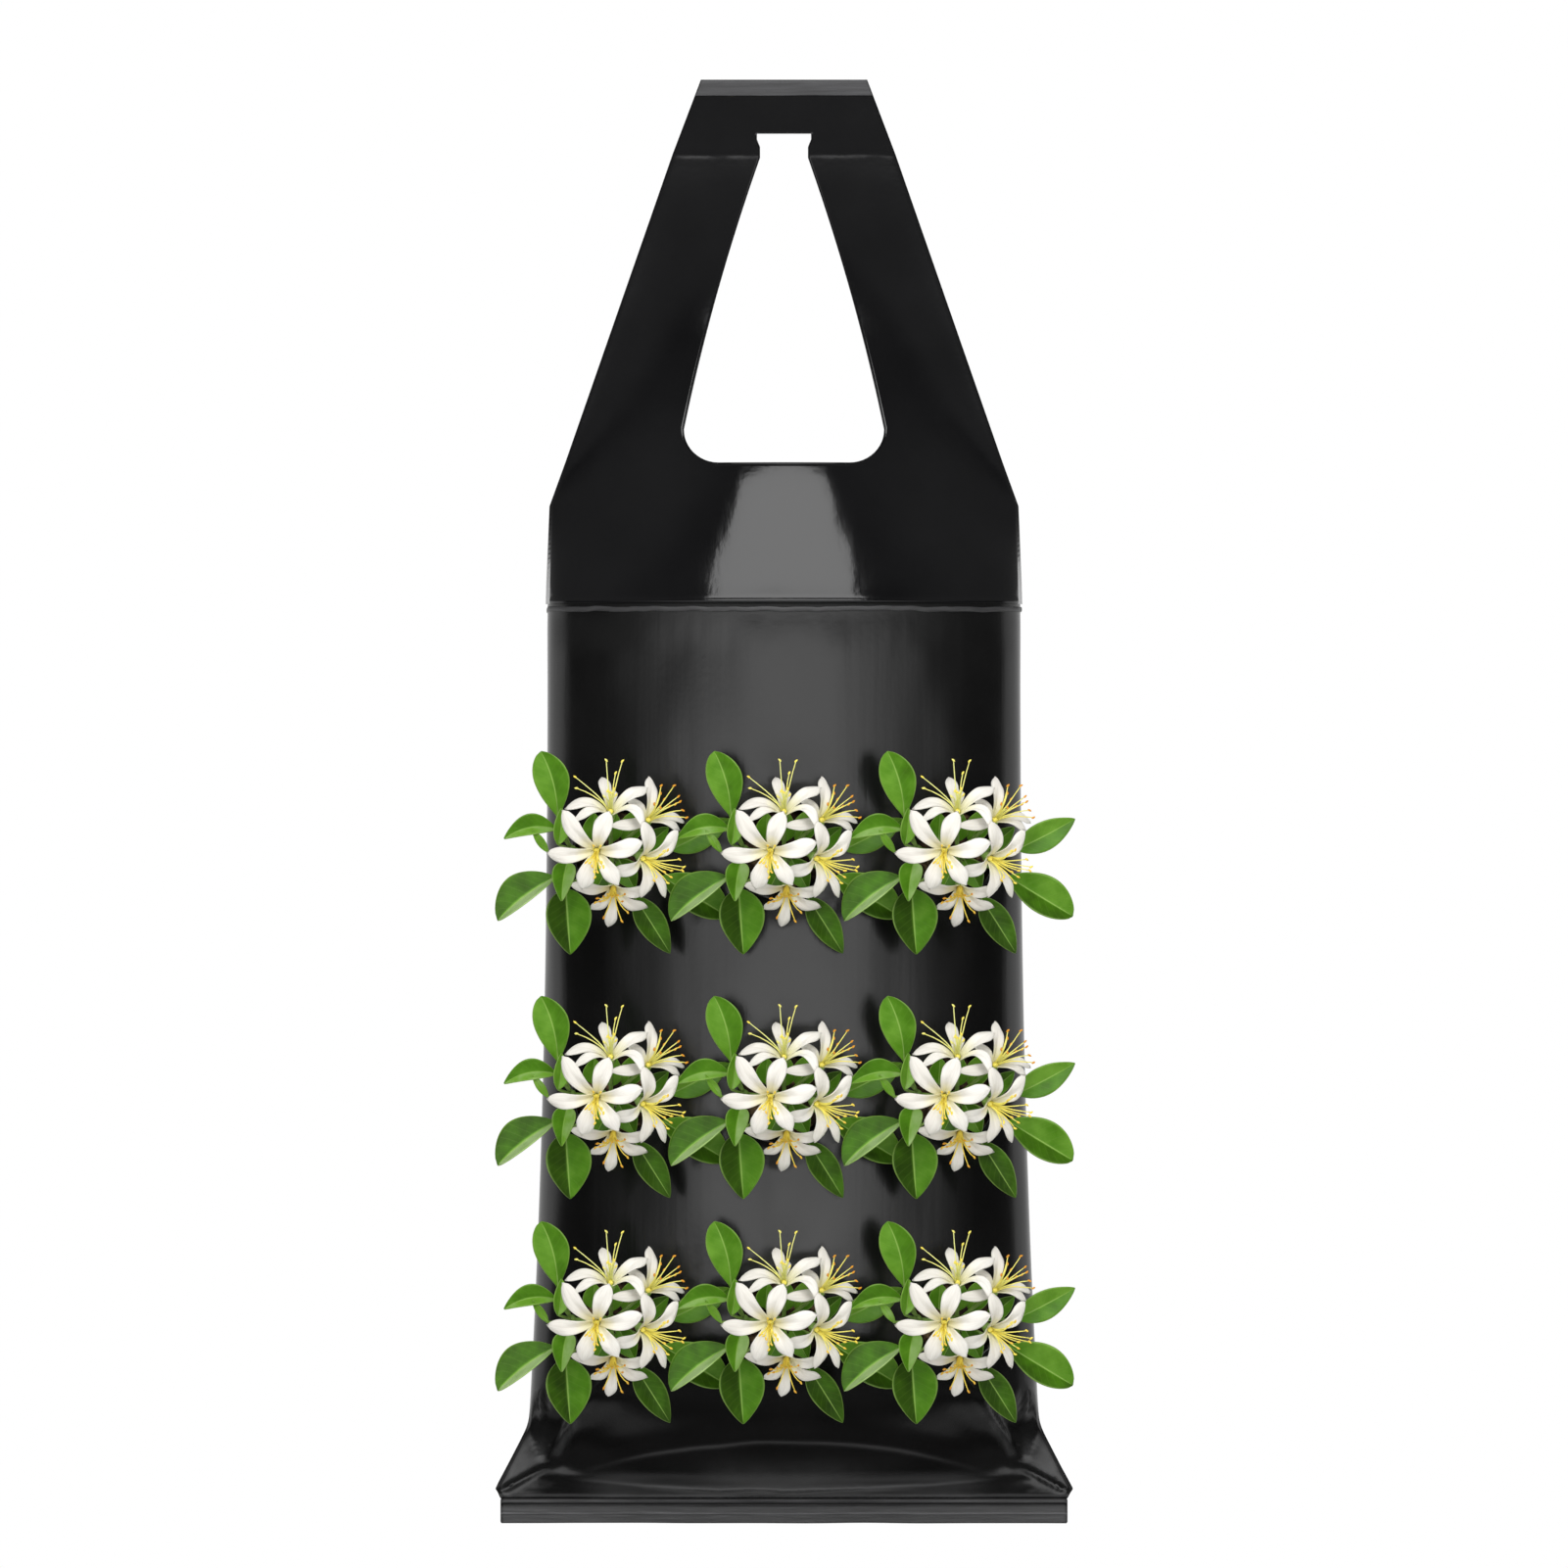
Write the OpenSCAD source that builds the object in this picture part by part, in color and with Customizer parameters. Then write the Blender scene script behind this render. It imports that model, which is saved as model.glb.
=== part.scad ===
// Hanging grow bag: a black film tube with a die-cut hanging handle, filled with compost and planted through
// nine round holes. The origin is the top edge of the hanging slot, where the hook bears. +Z is up and the
// planted face looks along -Y.

/* [Hanging tab] */
// Height of the stiff tab above its crease
tab_h = 29; // [24:0.5:36]
// Width of the tab along its top edge
tab_top_w = 64.5; // [56:0.5:70]
// Width of the film at the crease
crease_w = 86.5; // [80:0.5:94]
// Height of the folded hem along the top edge
hem_h = 6.3; // [4:0.1:9]
// Film left above the hanging slot, hem included
slot_drop = 21; // [16:0.5:24]
// Width of the hanging slot at its top edge
slot_top_w = 21; // [19:0.5:24]
// Width of the slot's throat
slot_w = 18.6; // [15:0.2:18.8]
// Height of the slot's straight sides under its top edge
slot_lip_h = 2.2; // [2.1:0.1:3]

/* [Handle and mouth] */
// Depth of the whole handle opening, from the slot's top edge to the mouth's lip
opening_h = 128; // [115:1:135]
// Widest part of the handle opening
opening_w = 78; // [66:1:84]
// Radius of the opening's two lower corners
corner_r = 13.7; // [10:0.5:18]
// How far the opening's sides bow outwards
side_bow = 1.7; // [0:0.1:3]
// Height of the throat below the slot's top edge
throat_h = 12.8; // [11.5:0.1:15]
// Height of the handle's straight slanted edges
handle_h = 136.5; // [130:0.5:145]
// Width across the two shoulders
shoulder_w = 181.5; // [176:0.5:186]
// Height of the collar between the shoulders and the seam
collar_h = 38; // [32:0.5:44]

/* [Bag] */
// Width of the filled bag below the seam
body_w = 183.5; // [174:0.5:188]
// Thickness of the filled bag, front to back
body_d = 88; // [76:1:94]
// Height of the sleeve from the seam to the bottom seal
sleeve_h = 347; // [341:1:365]
// Width of the bag just above the corner ears
heel_w = 198; // [190:0.5:204]
// Height of the corner ears above the bottom seal
ear_h = 29; // [24:0.5:34]
// Width across the corner ears
ear_w = 224; // [221:0.5:230]
// Height of the part that narrows towards the seal
foot_h = 70; // [60:1:78]
// Gauge of the film
film_t = 0.4; // [0.3:0.05:0.45]
// How far the handle film laps over the top of the sleeve
lap_h = 8; // [5:0.5:12]

/* [Seams] */
// Height of the weld bead under the handle film's lower edge
bead_h = 3.2; // [2:0.1:5]
// How far the weld bead stands out
bead_t = 0.5; // [0.3:0.05:0.8]
// Width of the flattened tube at the bottom seal
seal_w = 220; // [212:0.5:220]
// Height of the ribbed bottom seal
seal_h = 9.5; // [8:0.1:14]
// Thickness of the sealed film between the ribs
seal_t = 1; // [0.8:0.05:1.2]
// Number of ribs pressed into each face of the seal
rib_count = 5; // [3:1:6]
// Radius of one rib
rib_r = 0.5; // [0.4:0.05:0.6]

/* [Planting holes] */
// Distance from the seam to the first row of holes
first_row = 96; // [90:0.5:100]
// Distance from the first row to the second
second_row = 94; // [88:0.5:97]
// Distance from the second row to the third
third_row = 86.5; // [84:0.5:88]
// Distance between the columns
col_pitch = 66.5; // [64.5:0.5:68]
// Radius of a planting hole in the film
hole_r = 17; // [14.5:0.5:19]
// Radius of a root plug at its outer end
plug_r = 16; // [13:0.5:16.5]
// Radius of a root plug at its inner end
plug_tip_r = 12; // [9:0.5:13]
// Length of a root plug
plug_h = 38; // [30:1:42]
// Radius of a drain hole in the back
drain_r = 3; // [2:0.5:4]
// Height of the drain holes above the bottom seal
drain_rise = 52; // [46:1:60]

/* [Compost] */
// Distance from the seam down to the compost
compost_drop = 5; // [3:0.5:14]

/* [Plants] */
// Radius of the rounded stem base that sits on the root plug
crown_r = 2.1; // [1.6:0.1:2.1]
// Thickness of a stem
stem_d = 1.6; // [1.2:0.1:2]
// Thickness of a leaf at its midrib
leaf_t = 0.7; // [0.5:0.1:0.9]
// Thickness of a petal
petal_t = 0.9; // [0.6:0.1:1.2]
// Length of a petal
petal_l = 16.5; // [14:0.5:17.5]
// Width of a petal
petal_w = 6.6; // [6:0.2:8.4]

/* [Clearances] */
// Gap between the lapped films
lap_gap = 0.3; // [0.2:0.05:0.4]
// Gap between the film and the compost, and round a root plug
fill_gap = 0.3; // [0.2:0.05:0.4]
// Gap between welded strips that lie on each other
weld_gap = 0.1; // [0.08:0.01:0.15]
// Half the gap in the film at the crease
crease_gap = 0.8; // [0.75:0.05:1]
// Radius of the rolled fold along the crease
fold_r = 0.6; // [0.4:0.05:0.65]

/* [Hidden] */
rows = 3;
cols = 3;

film_color = "#1c1c1e";
hem_color = "#3f3f41";
seal_color = "#3a3a3c";
compost_color = "#3b2a1e";
root_color = "#5a4433";
stem_color = "#7fa03c";
leaf_color = "#4f9a2c";
petal_color = "#f4f1e6";
stamen_color = "#e9c23a";

// Heights in the part's frame
z_top = slot_drop;
z_crease = z_top - tab_h;
z_shoulder = z_crease - handle_h;
z_seam = z_shoulder - collar_h;
z_mouth = -opening_h;
z_seal = z_seam - sleeve_h;
z_heel = z_seal + ear_h;
z_foot = z_seal + foot_h;
ear_lip = 3.8;               // height of the corner ears' widest place above the bottom seal
z_ear = z_seal + ear_lip;

half_gap = 0.1;              // half the space left between two films that lie flat together
edge_t = half_gap + film_t;  // half thickness of two films that lie flat together
full_d = body_d / 2 - edge_t;
cols_fn = 20;                // facets across each face of the bag
cutter_l = 12;               // length of the cutter for a planting hole, front to back
compost_edge = 0.7;          // half thickness of the compost at its side edges

function clamp01(v) = max(0, min(1, v));
function unit(v) = v / norm(v);

// Half width of the bag's skin at a height
function half_w(z) =
    z >= z_seam ? lookup(z, [[z_seam, body_w / 2], [z_shoulder, shoulder_w / 2], [z_crease, crease_w / 2],
                             [z_top, tab_top_w / 2]])
    : z >= z_heel ? body_w / 2 + (heel_w - body_w) / 2 * pow((z_seam - z) / (z_seam - z_heel), 2.5)
    : lookup(z, [[z_seal, seal_w / 2], [z_ear, ear_w / 2], [z_heel, heel_w / 2]]);

// Half depth of the bag's bulge on its centreline: nothing at the crease, full in the body, nothing at the seal
function bulge(z) =
    z >= z_seam ? full_d * sin(90 * pow(clamp01((z_crease - z) / (z_crease - z_seam)), 2.4))
    : z >= z_foot ? full_d
    : full_d * pow(max(0, 1 - pow((z_foot - z) / foot_h, 2)), 0.8);

// Section exponent: 0.5 is an ellipse, above 1 the edges flatten into welded wings
function wing(z) =
    z >= z_seam ? 0.5 + 1.5 * clamp01((z - z_seam) / (z_mouth - z_seam))
    : z >= z_heel ? 0.5
    : 0.5 + 2 * pow((z_heel - z) / ear_h, 0.8);

// Distance of the skin from the bag's middle plane, with the skin grown outwards by off
function skin_y(x, z, off) =
    edge_t + off + bulge(z) * pow(max(0, 1 - pow(x / (half_w(z) + off), 2)), wing(z));

// How far the handle film stands outside the sleeve's skin, which it laps near the seam
function handle_off(z) = (film_t + lap_gap) * clamp01((z_mouth - z) / (z_mouth - z_seam - lap_h));

// The front face of the section from -x to +x, then the back face from +x to -x
function front_row(z, off, reach) =
    [for (i = [0:cols_fn]) let (x = -reach * cos(180 * i / cols_fn)) [x, -skin_y(x, z, off), z]];
function ring(z, off, reach) =
    concat(front_row(z, off, reach), [for (p = front_row(z, off, reach)) [-p[0], -p[1], p[2]]]);

function flat(lists) = [for (l = lists) each l];

// Heights at which the sleeve and what fills it have their rings, top to bottom
z_compost = z_seam - compost_drop;
sleeve_levels = concat(
    [z_seam + lap_h, z_seam, z_compost],
    [for (i = [1:3]) z_compost + (z_foot - z_compost) * i / 3],
    [for (i = [1:2]) z_foot + (z_heel - z_foot) * i / 2],
    [for (i = [1:4]) z_heel + (z_ear - z_heel) * i / 4],
    [z_seal]);
compost_levels = [for (z = sleeve_levels) if (z <= z_compost && z >= z_ear) z];
handle_levels = concat(
    [for (i = [0:4]) z_crease - crease_gap + (z_mouth - z_crease + crease_gap) * i / 5],
    [z_mouth, z_shoulder],
    [for (i = [1:3]) z_shoulder + (z_seam + lap_h - z_shoulder) * i / 3],
    [z_seam]);

// Side faces between stacked rings of n points, whose first point has index start
function side_faces(levels, n, start, flip) =
    [for (k = [0:levels - 2], i = [0:n - 1])
        let (a = start + k * n + i, b = start + k * n + (i + 1) % n)
        each flip ? [[a, a + n, b], [b, a + n, b + n]] : [[a, b, a + n], [b, b + n, a + n]]];

// A tube of film: the skin at off outside, and the same skin film thicknesses further in
module film_tube(levels, off, thick) {
    n = 2 * (cols_fn + 1);
    last = len(levels) - 1;
    outer = flat([for (z = levels) ring(z, off, half_w(z) + off)]);
    inner = flat([for (z = levels) ring(z, off - thick, half_w(z) + off - thick)]);
    m = len(outer);
    rims = [for (i = [0:n - 1])
        let (j = (i + 1) % n, e = last * n)
        each [[i, m + i, j], [j, m + i, m + j], [e + i, e + j, m + e + i], [e + j, m + e + j, m + e + i]]];
    polyhedron(points = concat(outer, inner),
        faces = concat(side_faces(last + 1, n, 0, false), side_faces(last + 1, n, m, true), rims));
}

// The front face of the handle film, before its opening is cut
module handle_sheet() {
    n = cols_fn + 1;
    levels = len(handle_levels);
    outer = flat([for (z = handle_levels) front_row(z, handle_off(z), half_w(z) + handle_off(z))]);
    inner = flat([for (z = handle_levels) front_row(z, handle_off(z) - film_t, half_w(z) + handle_off(z))]);
    m = len(outer);
    skin = [for (k = [0:levels - 2], i = [0:n - 2])
        let (a = k * n + i)
        each [[a, a + 1, a + n], [a + 1, a + n + 1, a + n],
              [m + a, m + a + n, m + a + 1], [m + a + 1, m + a + n, m + a + n + 1]]];
    ends = [for (i = [0:n - 2])
        let (e = (levels - 1) * n + i)
        each [[i, m + i, i + 1], [i + 1, m + i, m + i + 1], [e, e + 1, m + e], [e + 1, m + e + 1, m + e]]];
    edges = [for (k = [0:levels - 2])
        let (a = k * n, b = k * n + n - 1)
        each [[a, a + n, m + a], [a + n, m + a + n, m + a], [b, m + b, b + n], [b + n, m + b, m + b + n]]];
    polyhedron(points = concat(outer, inner), faces = concat(skin, ends, edges));
}

// Right half of the handle opening, from the slot's top edge down to the lip
corner_x = opening_w / 2 - corner_r;
corner_z = z_mouth + corner_r;
throat_x = slot_top_w / 2;
neck_h = 3;    // height over which the slot narrows to its throat
flare_h = 3.5; // height over which the throat widens again into the handle opening
opening_half = concat(
    [[0, z_mouth], [0, 0], [slot_top_w / 2, 0], [slot_top_w / 2, -slot_lip_h],
     [slot_w / 2, -slot_lip_h - neck_h], [slot_w / 2, -throat_h + flare_h]],
    [for (i = [0:8])
        let (t = i / 8)
        [throat_x + (opening_w / 2 - throat_x) * t + 4 * side_bow * t * (1 - t),
         -throat_h + (corner_z + throat_h) * t]],
    [for (a = [-15:-15:-90]) [corner_x + corner_r * cos(a), corner_z + corner_r * sin(a)]]);

module opening_2d() {
    polygon(opening_half);
    mirror([1, 0]) polygon(opening_half);
}

// Stands a drawing in X and Z upright, centred on the middle plane
module upright(depth) {
    rotate([90, 0, 0]) linear_extrude(height = depth, center = true) children();
}

// The back film is the front one turned half round
module handle_film(turn) {
    color(film_color) rotate([0, 0, turn]) difference() {
        handle_sheet();
        upright(2 * body_d) opening_2d();
    }
}

// Trapezoid of the tab between two heights
module tab_2d(low, high) {
    polygon([[-half_w(low), low], [half_w(low), low], [half_w(high), high], [-half_w(high), high]]);
}

module tab_film(turn) {
    color(film_color) rotate([0, 0, turn])
        translate([0, -half_gap - film_t / 2, 0])
            upright(film_t) difference() {
                tab_2d(z_crease + crease_gap, z_top - film_t - weld_gap);
                opening_2d();
            }
}

// The hem is a strip of film folded over the tab's top edge and welded to both faces
module top_hem() {
    color(hem_color) difference() {
        upright(2 * (edge_t + weld_gap + film_t)) tab_2d(z_top - hem_h, z_top);
        upright(2 * (edge_t + weld_gap))
            translate([0, -film_t]) square([2 * tab_top_w, 2 * z_top], center = true);
    }
}

// The film is rolled tight along the crease on each side of the slot, and folds there
module crease_fold(side) {
    inner = slot_w / 2 + weld_gap;
    outer = crease_w / 2;
    color(film_color)
        translate([side * (inner + outer) / 2, 0, z_crease])
            rotate([0, 90, 0]) cylinder(h = outer - inner, r = fold_r, center = true, $fn = 32);
}

// Weld bead all round the bag, under the lower edge of the handle film
module seam_bead() {
    color(hem_color)
        film_tube([z_seam - weld_gap, z_seam - weld_gap - bead_h], weld_gap + bead_t, bead_t);
}

module body_sleeve() {
    color(film_color) difference() {
        film_tube(sleeve_levels, 0, film_t);
        for (r = [1:rows], c = [1:cols])
            at_hole(r, c) rotate([90, 0, 0]) cylinder(h = cutter_l, r = hole_r, center = true, $fn = 48);
        for (x = [-3, -1, 1, 3])
            translate([x * col_pitch / 3, body_d / 2, z_seal + drain_rise])
                rotate([90, 0, 0]) cylinder(h = body_d / 2, r = drain_r, center = true, $fn = 32);
    }
}

// Both films welded flat, with ribs pressed along the band
module bottom_seal() {
    rib_pitch = seal_h / rib_count;
    color(seal_color)
        translate([0, 0, z_seal - weld_gap])
            rotate([90, 0, 90]) linear_extrude(height = seal_w, center = true) {
                translate([-seal_t / 2, -seal_h]) square([seal_t, seal_h]);
                for (i = [0:rib_count - 1], side = [-1, 1])
                    translate([side * (seal_t / 2 - rib_r / 3), -(i + 0.5) * rib_pitch])
                        circle(r = rib_r, $fn = 24);
            }
}

function hole_x(c) = (c - 2) * col_pitch;
function hole_z(r) = z_seam - first_row - (r > 1 ? second_row : 0) - (r > 2 ? third_row : 0);
function hole_y(r, c) = -skin_y(hole_x(c), hole_z(r), 0);
// Slope of the skin at a hole, as the turn from straight ahead to the hole's own axis
function hole_turn(r, c) =
    atan((skin_y(hole_x(c) - 1, hole_z(r), 0) - skin_y(hole_x(c) + 1, hole_z(r), 0)) / 2);

// Children are drawn with a planting hole's centre at the origin and its axis along Y
module at_hole(r, c) {
    translate([hole_x(c), hole_y(r, c), hole_z(r)]) rotate([0, 0, hole_turn(r, c)]) children();
}

plug_recess = crown_r + fill_gap; // from the film's outer face in to the plug's outer end

module plug_shape(grow) {
    translate([0, plug_recess, 0])
        rotate([-90, 0, 0]) cylinder(h = plug_h + grow, r1 = plug_r + grow, r2 = plug_tip_r + grow, $fn = 48);
}

module root_plug(r, c) {
    color(root_color) at_hole(r, c) plug_shape(0);
}

// Compost fills the sleeve up to just below the seam, with a socket for each root plug
module compost() {
    off = -film_t - fill_gap;
    n = 2 * (cols_fn + 1);
    count = len(compost_levels);
    function reach(z) = (half_w(z) + off) * sqrt(1 - pow(min(1, compost_edge / bulge(z)), 1 / wing(z)));
    points = flat([for (z = compost_levels) ring(z, off, reach(z))]);
    bottom = (count - 1) * n;
    caps = [for (i = [0:cols_fn - 1])
        let (j = n - 1 - i)
        each [[i, j, i + 1], [i + 1, j, j - 1],
              [bottom + i, bottom + i + 1, bottom + j], [bottom + i + 1, bottom + j - 1, bottom + j]]];
    color(compost_color) difference() {
        polyhedron(points = points, faces = concat(side_faces(count, n, 0, false), caps));
        for (r = [1:rows], c = [1:cols]) at_hole(r, c) {
            plug_shape(fill_gap);
            translate([0, plug_recess - cutter_l / 2, 0])
                rotate([-90, 0, 0])
                    cylinder(h = cutter_l, r = plug_r + fill_gap, center = true, $fn = 48);
        }
    }
}

// Places are [right, towards the back, up] from the middle column's hole, so every plant has the same head.
// The forks are where stalks part: the top of the main stem and the end of its left shoot.
forks = [[0, -7, 0], [-15, -15, 1]];

// Each leaf: base, tip, width, sideways arch, how far its halves fold forward, its roll in degrees, its fork.
leaves = [
    [[-20.4, -18, 13.7], [-27.1, -21, 38.5], 13.2, 1.7, 0.25, 12, 1],
    [[-20.8, -20, 8.9], [-40.8, -23, 5.1], 7.6, 3.3, 0.35, 10, 1],
    [[-24, -21, 0], [-30, -25, 8.5], 3, 0, 0.2, 0, 1],
    [[-21.4, -18, -9.5], [-43.5, -22, -25.7], 13.2, 3.2, 0.3, -12, 1],
    [[-16.6, -23, -4], [-18.4, -27, -18.5], 8, 0.6, 0.4, 20, 1],
    [[-17.4, -11, -14], [-15.9, -14, -39.1], 16.8, 0, 0.2, -10, 0],
    [[9.1, -8, -17.3], [22.9, -10, -38.6], 10.8, 0, 0.25, 14, 0],
    [[23, -7, 1], [45.4, -7, 12.9], 10.8, 0.3, 0.3, 8, 0],
    [[19.7, -6, -9.5], [44.6, -6, -24.8], 14, -2, 0.25, -8, 0],
    [[-20, -25, 3], [-18.5, -27, 16.8], 6.3, 0.3, 0.4, -20, 1],
    [[-7, -8, 5], [-6.5, -12, 14.5], 8, 0, 0.2, 0, 0],
    [[5, -8, 4], [12, -12, 17], 9, 0, 0.2, 10, 0]];

// Each blossom: centre, the way it faces, its turn about that way, and its number of petals
blossoms = [
    [[-5, -41, 1], [-0.1, -1, -0.25], 12, 6],
    [[0, -30, 15], [0, -0.75, 0.65], 23, 5],
    [[14, -21, 12], [0.5, -0.75, 0.45], 10, 5],
    [[12, -31, -2], [0.5, -0.8, -0.3], 18, 5],
    [[1, -21, -13], [0, -0.75, -0.65], 49, 5]];
fork_r = 2.2;      // radius of the knot where stalks part
leafstalk_d = 1.2; // thickness of a leafstalk where it meets its blade
petal_rise = 20;   // degrees that petals stand forward of flat
petal_curl = 3;    // how far a petal's tip bends back
petal_fold = 0.25; // how far a petal's edges stand forward, as a share of its half width
petal_neck = 0.35; // share of a petal's length at which it starts to widen
neck_share = 0.75; // its width there, as a share of its full width
petal_wide = 0.7;  // share of a petal's length at which it is widest
throat_r = 1.8;    // radius at which neighbouring petals part
cup_r = 1.5;       // radius of a blossom's green cup
cup_h = 3.4;       // height of a blossom's green cup
stamen_l = 14;     // length of a stamen
stamen_d = 0.8;    // thickness of a stamen
stamens = 5;       // stamens in a blossom
stamen_lean = 18;  // degrees that stamens lean outwards

// A leaf as one closed solid: a leafstalk that starts beside its fork, and a pointed blade folded along its
// midrib. Its upper side faces the front, turned by roll about its own length.
module leaf(base, tip, width, arch, fold, roll, fork) {
    stations = norm(tip - base) > 18 ? 3 : 2;
    along = unit(tip - base);
    level = unit(cross(along, [0, -1, 0]));
    side = level * cos(roll) + cross(level, along) * sin(roll);
    up = cross(side, along);
    function mid(t) = base + (tip - base) * t + side * (4 * arch * t * (1 - t)) - up * (t * t);
    function half(t) = max(leafstalk_d / 2, width / 2 * pow(sin(180 * pow(t, 0.85)), 0.75));
    points = concat(
        [fork + unit(base - fork) * (fork_r + weld_gap)],
        [for (i = [0:stations])
            let (t = i / (stations + 1), h = half(t))
            each [mid(t) + side * h + up * (fold * h), mid(t) + up * (leaf_t / 2),
                  mid(t) - side * h + up * (fold * h), mid(t) - up * (leaf_t / 2)]],
        [mid(1)]);
    last = 4 * stations + 5;
    faces = concat(
        [for (j = [0:3]) [0, 1 + (j + 1) % 4, 1 + j]],
        [for (k = [0:stations - 1], j = [0:3])
            let (a = 1 + 4 * k + j, b = 1 + 4 * k + (j + 1) % 4)
            each [[a, b, a + 4], [b, b + 4, a + 4]]],
        [for (j = [0:3]) [last, last - 4 + j, last - 4 + (j + 1) % 4]]);
    polyhedron(points = points, faces = faces);
}

// Children are drawn from the middle column's hole in this row, shifted to this column
module at_plant(r, c) {
    translate([hole_x(c), hole_y(r, 2), hole_z(r)]) children();
}

module plant_leaves(r, c) {
    color(leaf_color) at_plant(r, c) for (l = leaves) leaf(l[0], l[1], l[2], l[3], l[4], l[5], forks[l[6]]);
}

// Children are drawn along +Z from the origin and turned to run from a towards b
module along(a, b) {
    v = b - a;
    translate(a) rotate([0, acos(v[2] / norm(v)), atan2(v[1], v[0])]) children();
}

// A straight round piece between two places
module stick(a, b, d) {
    along(a, b) cylinder(h = norm(b - a), d = d, $fn = 5);
}

// Stem base in the hole, the main stem, its left shoot, and a stalk to each blossom
module plant_stems(r, c) {
    crown = [0, hole_y(r, c) - hole_y(r, 2), 0];
    color(stem_color) at_plant(r, c) {
        translate(crown) sphere(r = crown_r, $fn = 8);
        stick(crown, forks[0], 2 * stem_d);
        stick(forks[0], forks[1], 1.4 * stem_d);
        for (f = forks) translate(f) sphere(r = fork_r, $fn = 8);
        for (b = blossoms) {
            cup = b[0] - unit(b[1]) * cup_h;
            stick(forks[0], cup - unit(cup - forks[0]) * (stem_d / 2 + weld_gap), stem_d);
        }
    }
}

// The white part of a blossom as one closed blade with a lobe for each petal. f, right and up are its own axes.
module petals(centre, f, right, up, turn, count) {
    function out(a) = right * cos(a) + up * sin(a);
    function spine(a, t) = centre + (out(a) * cos(petal_rise) + f * sin(petal_rise)) * petal_l * t
        - f * (petal_curl * t * t);
    function edge(a, t, h) = spine(a, t) + cross(f, out(a)) * h + f * (petal_fold * abs(h));
    points = concat(
        [centre + f * petal_t / 2, centre - f * petal_t],
        [for (i = [0:count - 1])
            let (a = turn + 360 * i / count, w = petal_w / 2)
            each [centre + out(a - 180 / count) * throat_r,
                  edge(a, petal_neck, -neck_share * w), edge(a, petal_neck, neck_share * w),
                  spine(a, petal_neck) + f * petal_t / 2, spine(a, petal_neck) - f * petal_t / 2,
                  edge(a, petal_wide, -w), edge(a, petal_wide, w),
                  spine(a, petal_wide) + f * petal_t / 2, spine(a, petal_wide) - f * petal_t / 2,
                  spine(a, 1)]]);
    faces = [for (i = [0:count - 1], side = [0, 1])
        let (v = 2 + 10 * i, w = 2 + 10 * ((i + 1) % count), m = v + 3 + side, n = v + 7 + side)
        each [for (t = [[side, v, m], [v, v + 1, m], [m, v + 2, w], [side, m, w],
                        [v + 1, v + 5, n], [v + 1, n, m], [m, n, v + 6], [m, v + 6, v + 2],
                        [v + 5, v + 9, n], [n, v + 9, v + 6]])
            side == 0 ? [t[0], t[2], t[1]] : t]];
    polyhedron(points = points, faces = faces);
}

module blossom(centre, facing, turn, count) {
    f = unit(facing);
    right = unit(cross([0, 0.2, 1], f));
    up = cross(f, right);
    color(petal_color) petals(centre, f, right, up, turn, count);
    color(stem_color) stick(centre - f * cup_h, centre, 2 * cup_r);
    color(stamen_color) for (i = [0:stamens - 1]) {
        a = 360 * i / stamens;
        lean = (right * cos(a) + up * sin(a)) * tan(stamen_lean);
        stick(centre, centre + unit(f + lean) * stamen_l, stamen_d);
    }
}

module plant_blossoms(r, c) {
    at_plant(r, c) for (b = blossoms) blossom(b[0], b[1], b[2], b[3]);
}

top_hem();
tab_film(0);  // tab_front_film
tab_film(180);  // tab_back_film
crease_fold(-1);  // crease_fold_left
crease_fold(1);  // crease_fold_right
handle_film(0);  // handle_front_film
handle_film(180);  // handle_back_film
seam_bead();
body_sleeve();
bottom_seal();
compost();
for (r = [1:rows], c = [1:cols]) {
    plant = str("plant_", r, "_", c, "_");
    root_plug(r, c);
    plant_stems(r, c);
    plant_leaves(r, c);
    plant_blossoms(r, c);
}
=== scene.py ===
import math

import bmesh
import bpy
import numpy as np
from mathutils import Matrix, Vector


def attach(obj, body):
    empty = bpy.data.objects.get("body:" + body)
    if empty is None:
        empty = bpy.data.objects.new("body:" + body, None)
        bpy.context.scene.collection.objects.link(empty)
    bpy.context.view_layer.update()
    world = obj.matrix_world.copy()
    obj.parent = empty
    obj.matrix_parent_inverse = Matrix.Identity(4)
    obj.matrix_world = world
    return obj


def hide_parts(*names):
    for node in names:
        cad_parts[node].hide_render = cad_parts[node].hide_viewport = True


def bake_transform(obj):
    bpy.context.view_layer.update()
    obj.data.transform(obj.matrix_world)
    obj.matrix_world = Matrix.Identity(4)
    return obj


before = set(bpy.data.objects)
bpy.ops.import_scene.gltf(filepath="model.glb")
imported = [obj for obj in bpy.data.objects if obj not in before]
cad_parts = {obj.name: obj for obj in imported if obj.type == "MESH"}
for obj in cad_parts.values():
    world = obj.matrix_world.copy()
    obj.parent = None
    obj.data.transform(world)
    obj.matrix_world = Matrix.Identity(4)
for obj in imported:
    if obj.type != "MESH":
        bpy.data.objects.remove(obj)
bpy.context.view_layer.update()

# Hanging grow bag: a black film tube with a die-cut hanging handle, planted through nine holes.
# Shapes are worked out in millimetres in the CAD's own frame: X right, Z up, planted face towards -Y.
mm = 0.001

# Camera: the photograph is square on from far away, and its frame is 608.4 mm wide at the bag
shot = {"frameWidth": 608.4, "middleHeight": -252.3, "distance": 6000.0, "sensor": 36.0}


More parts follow.
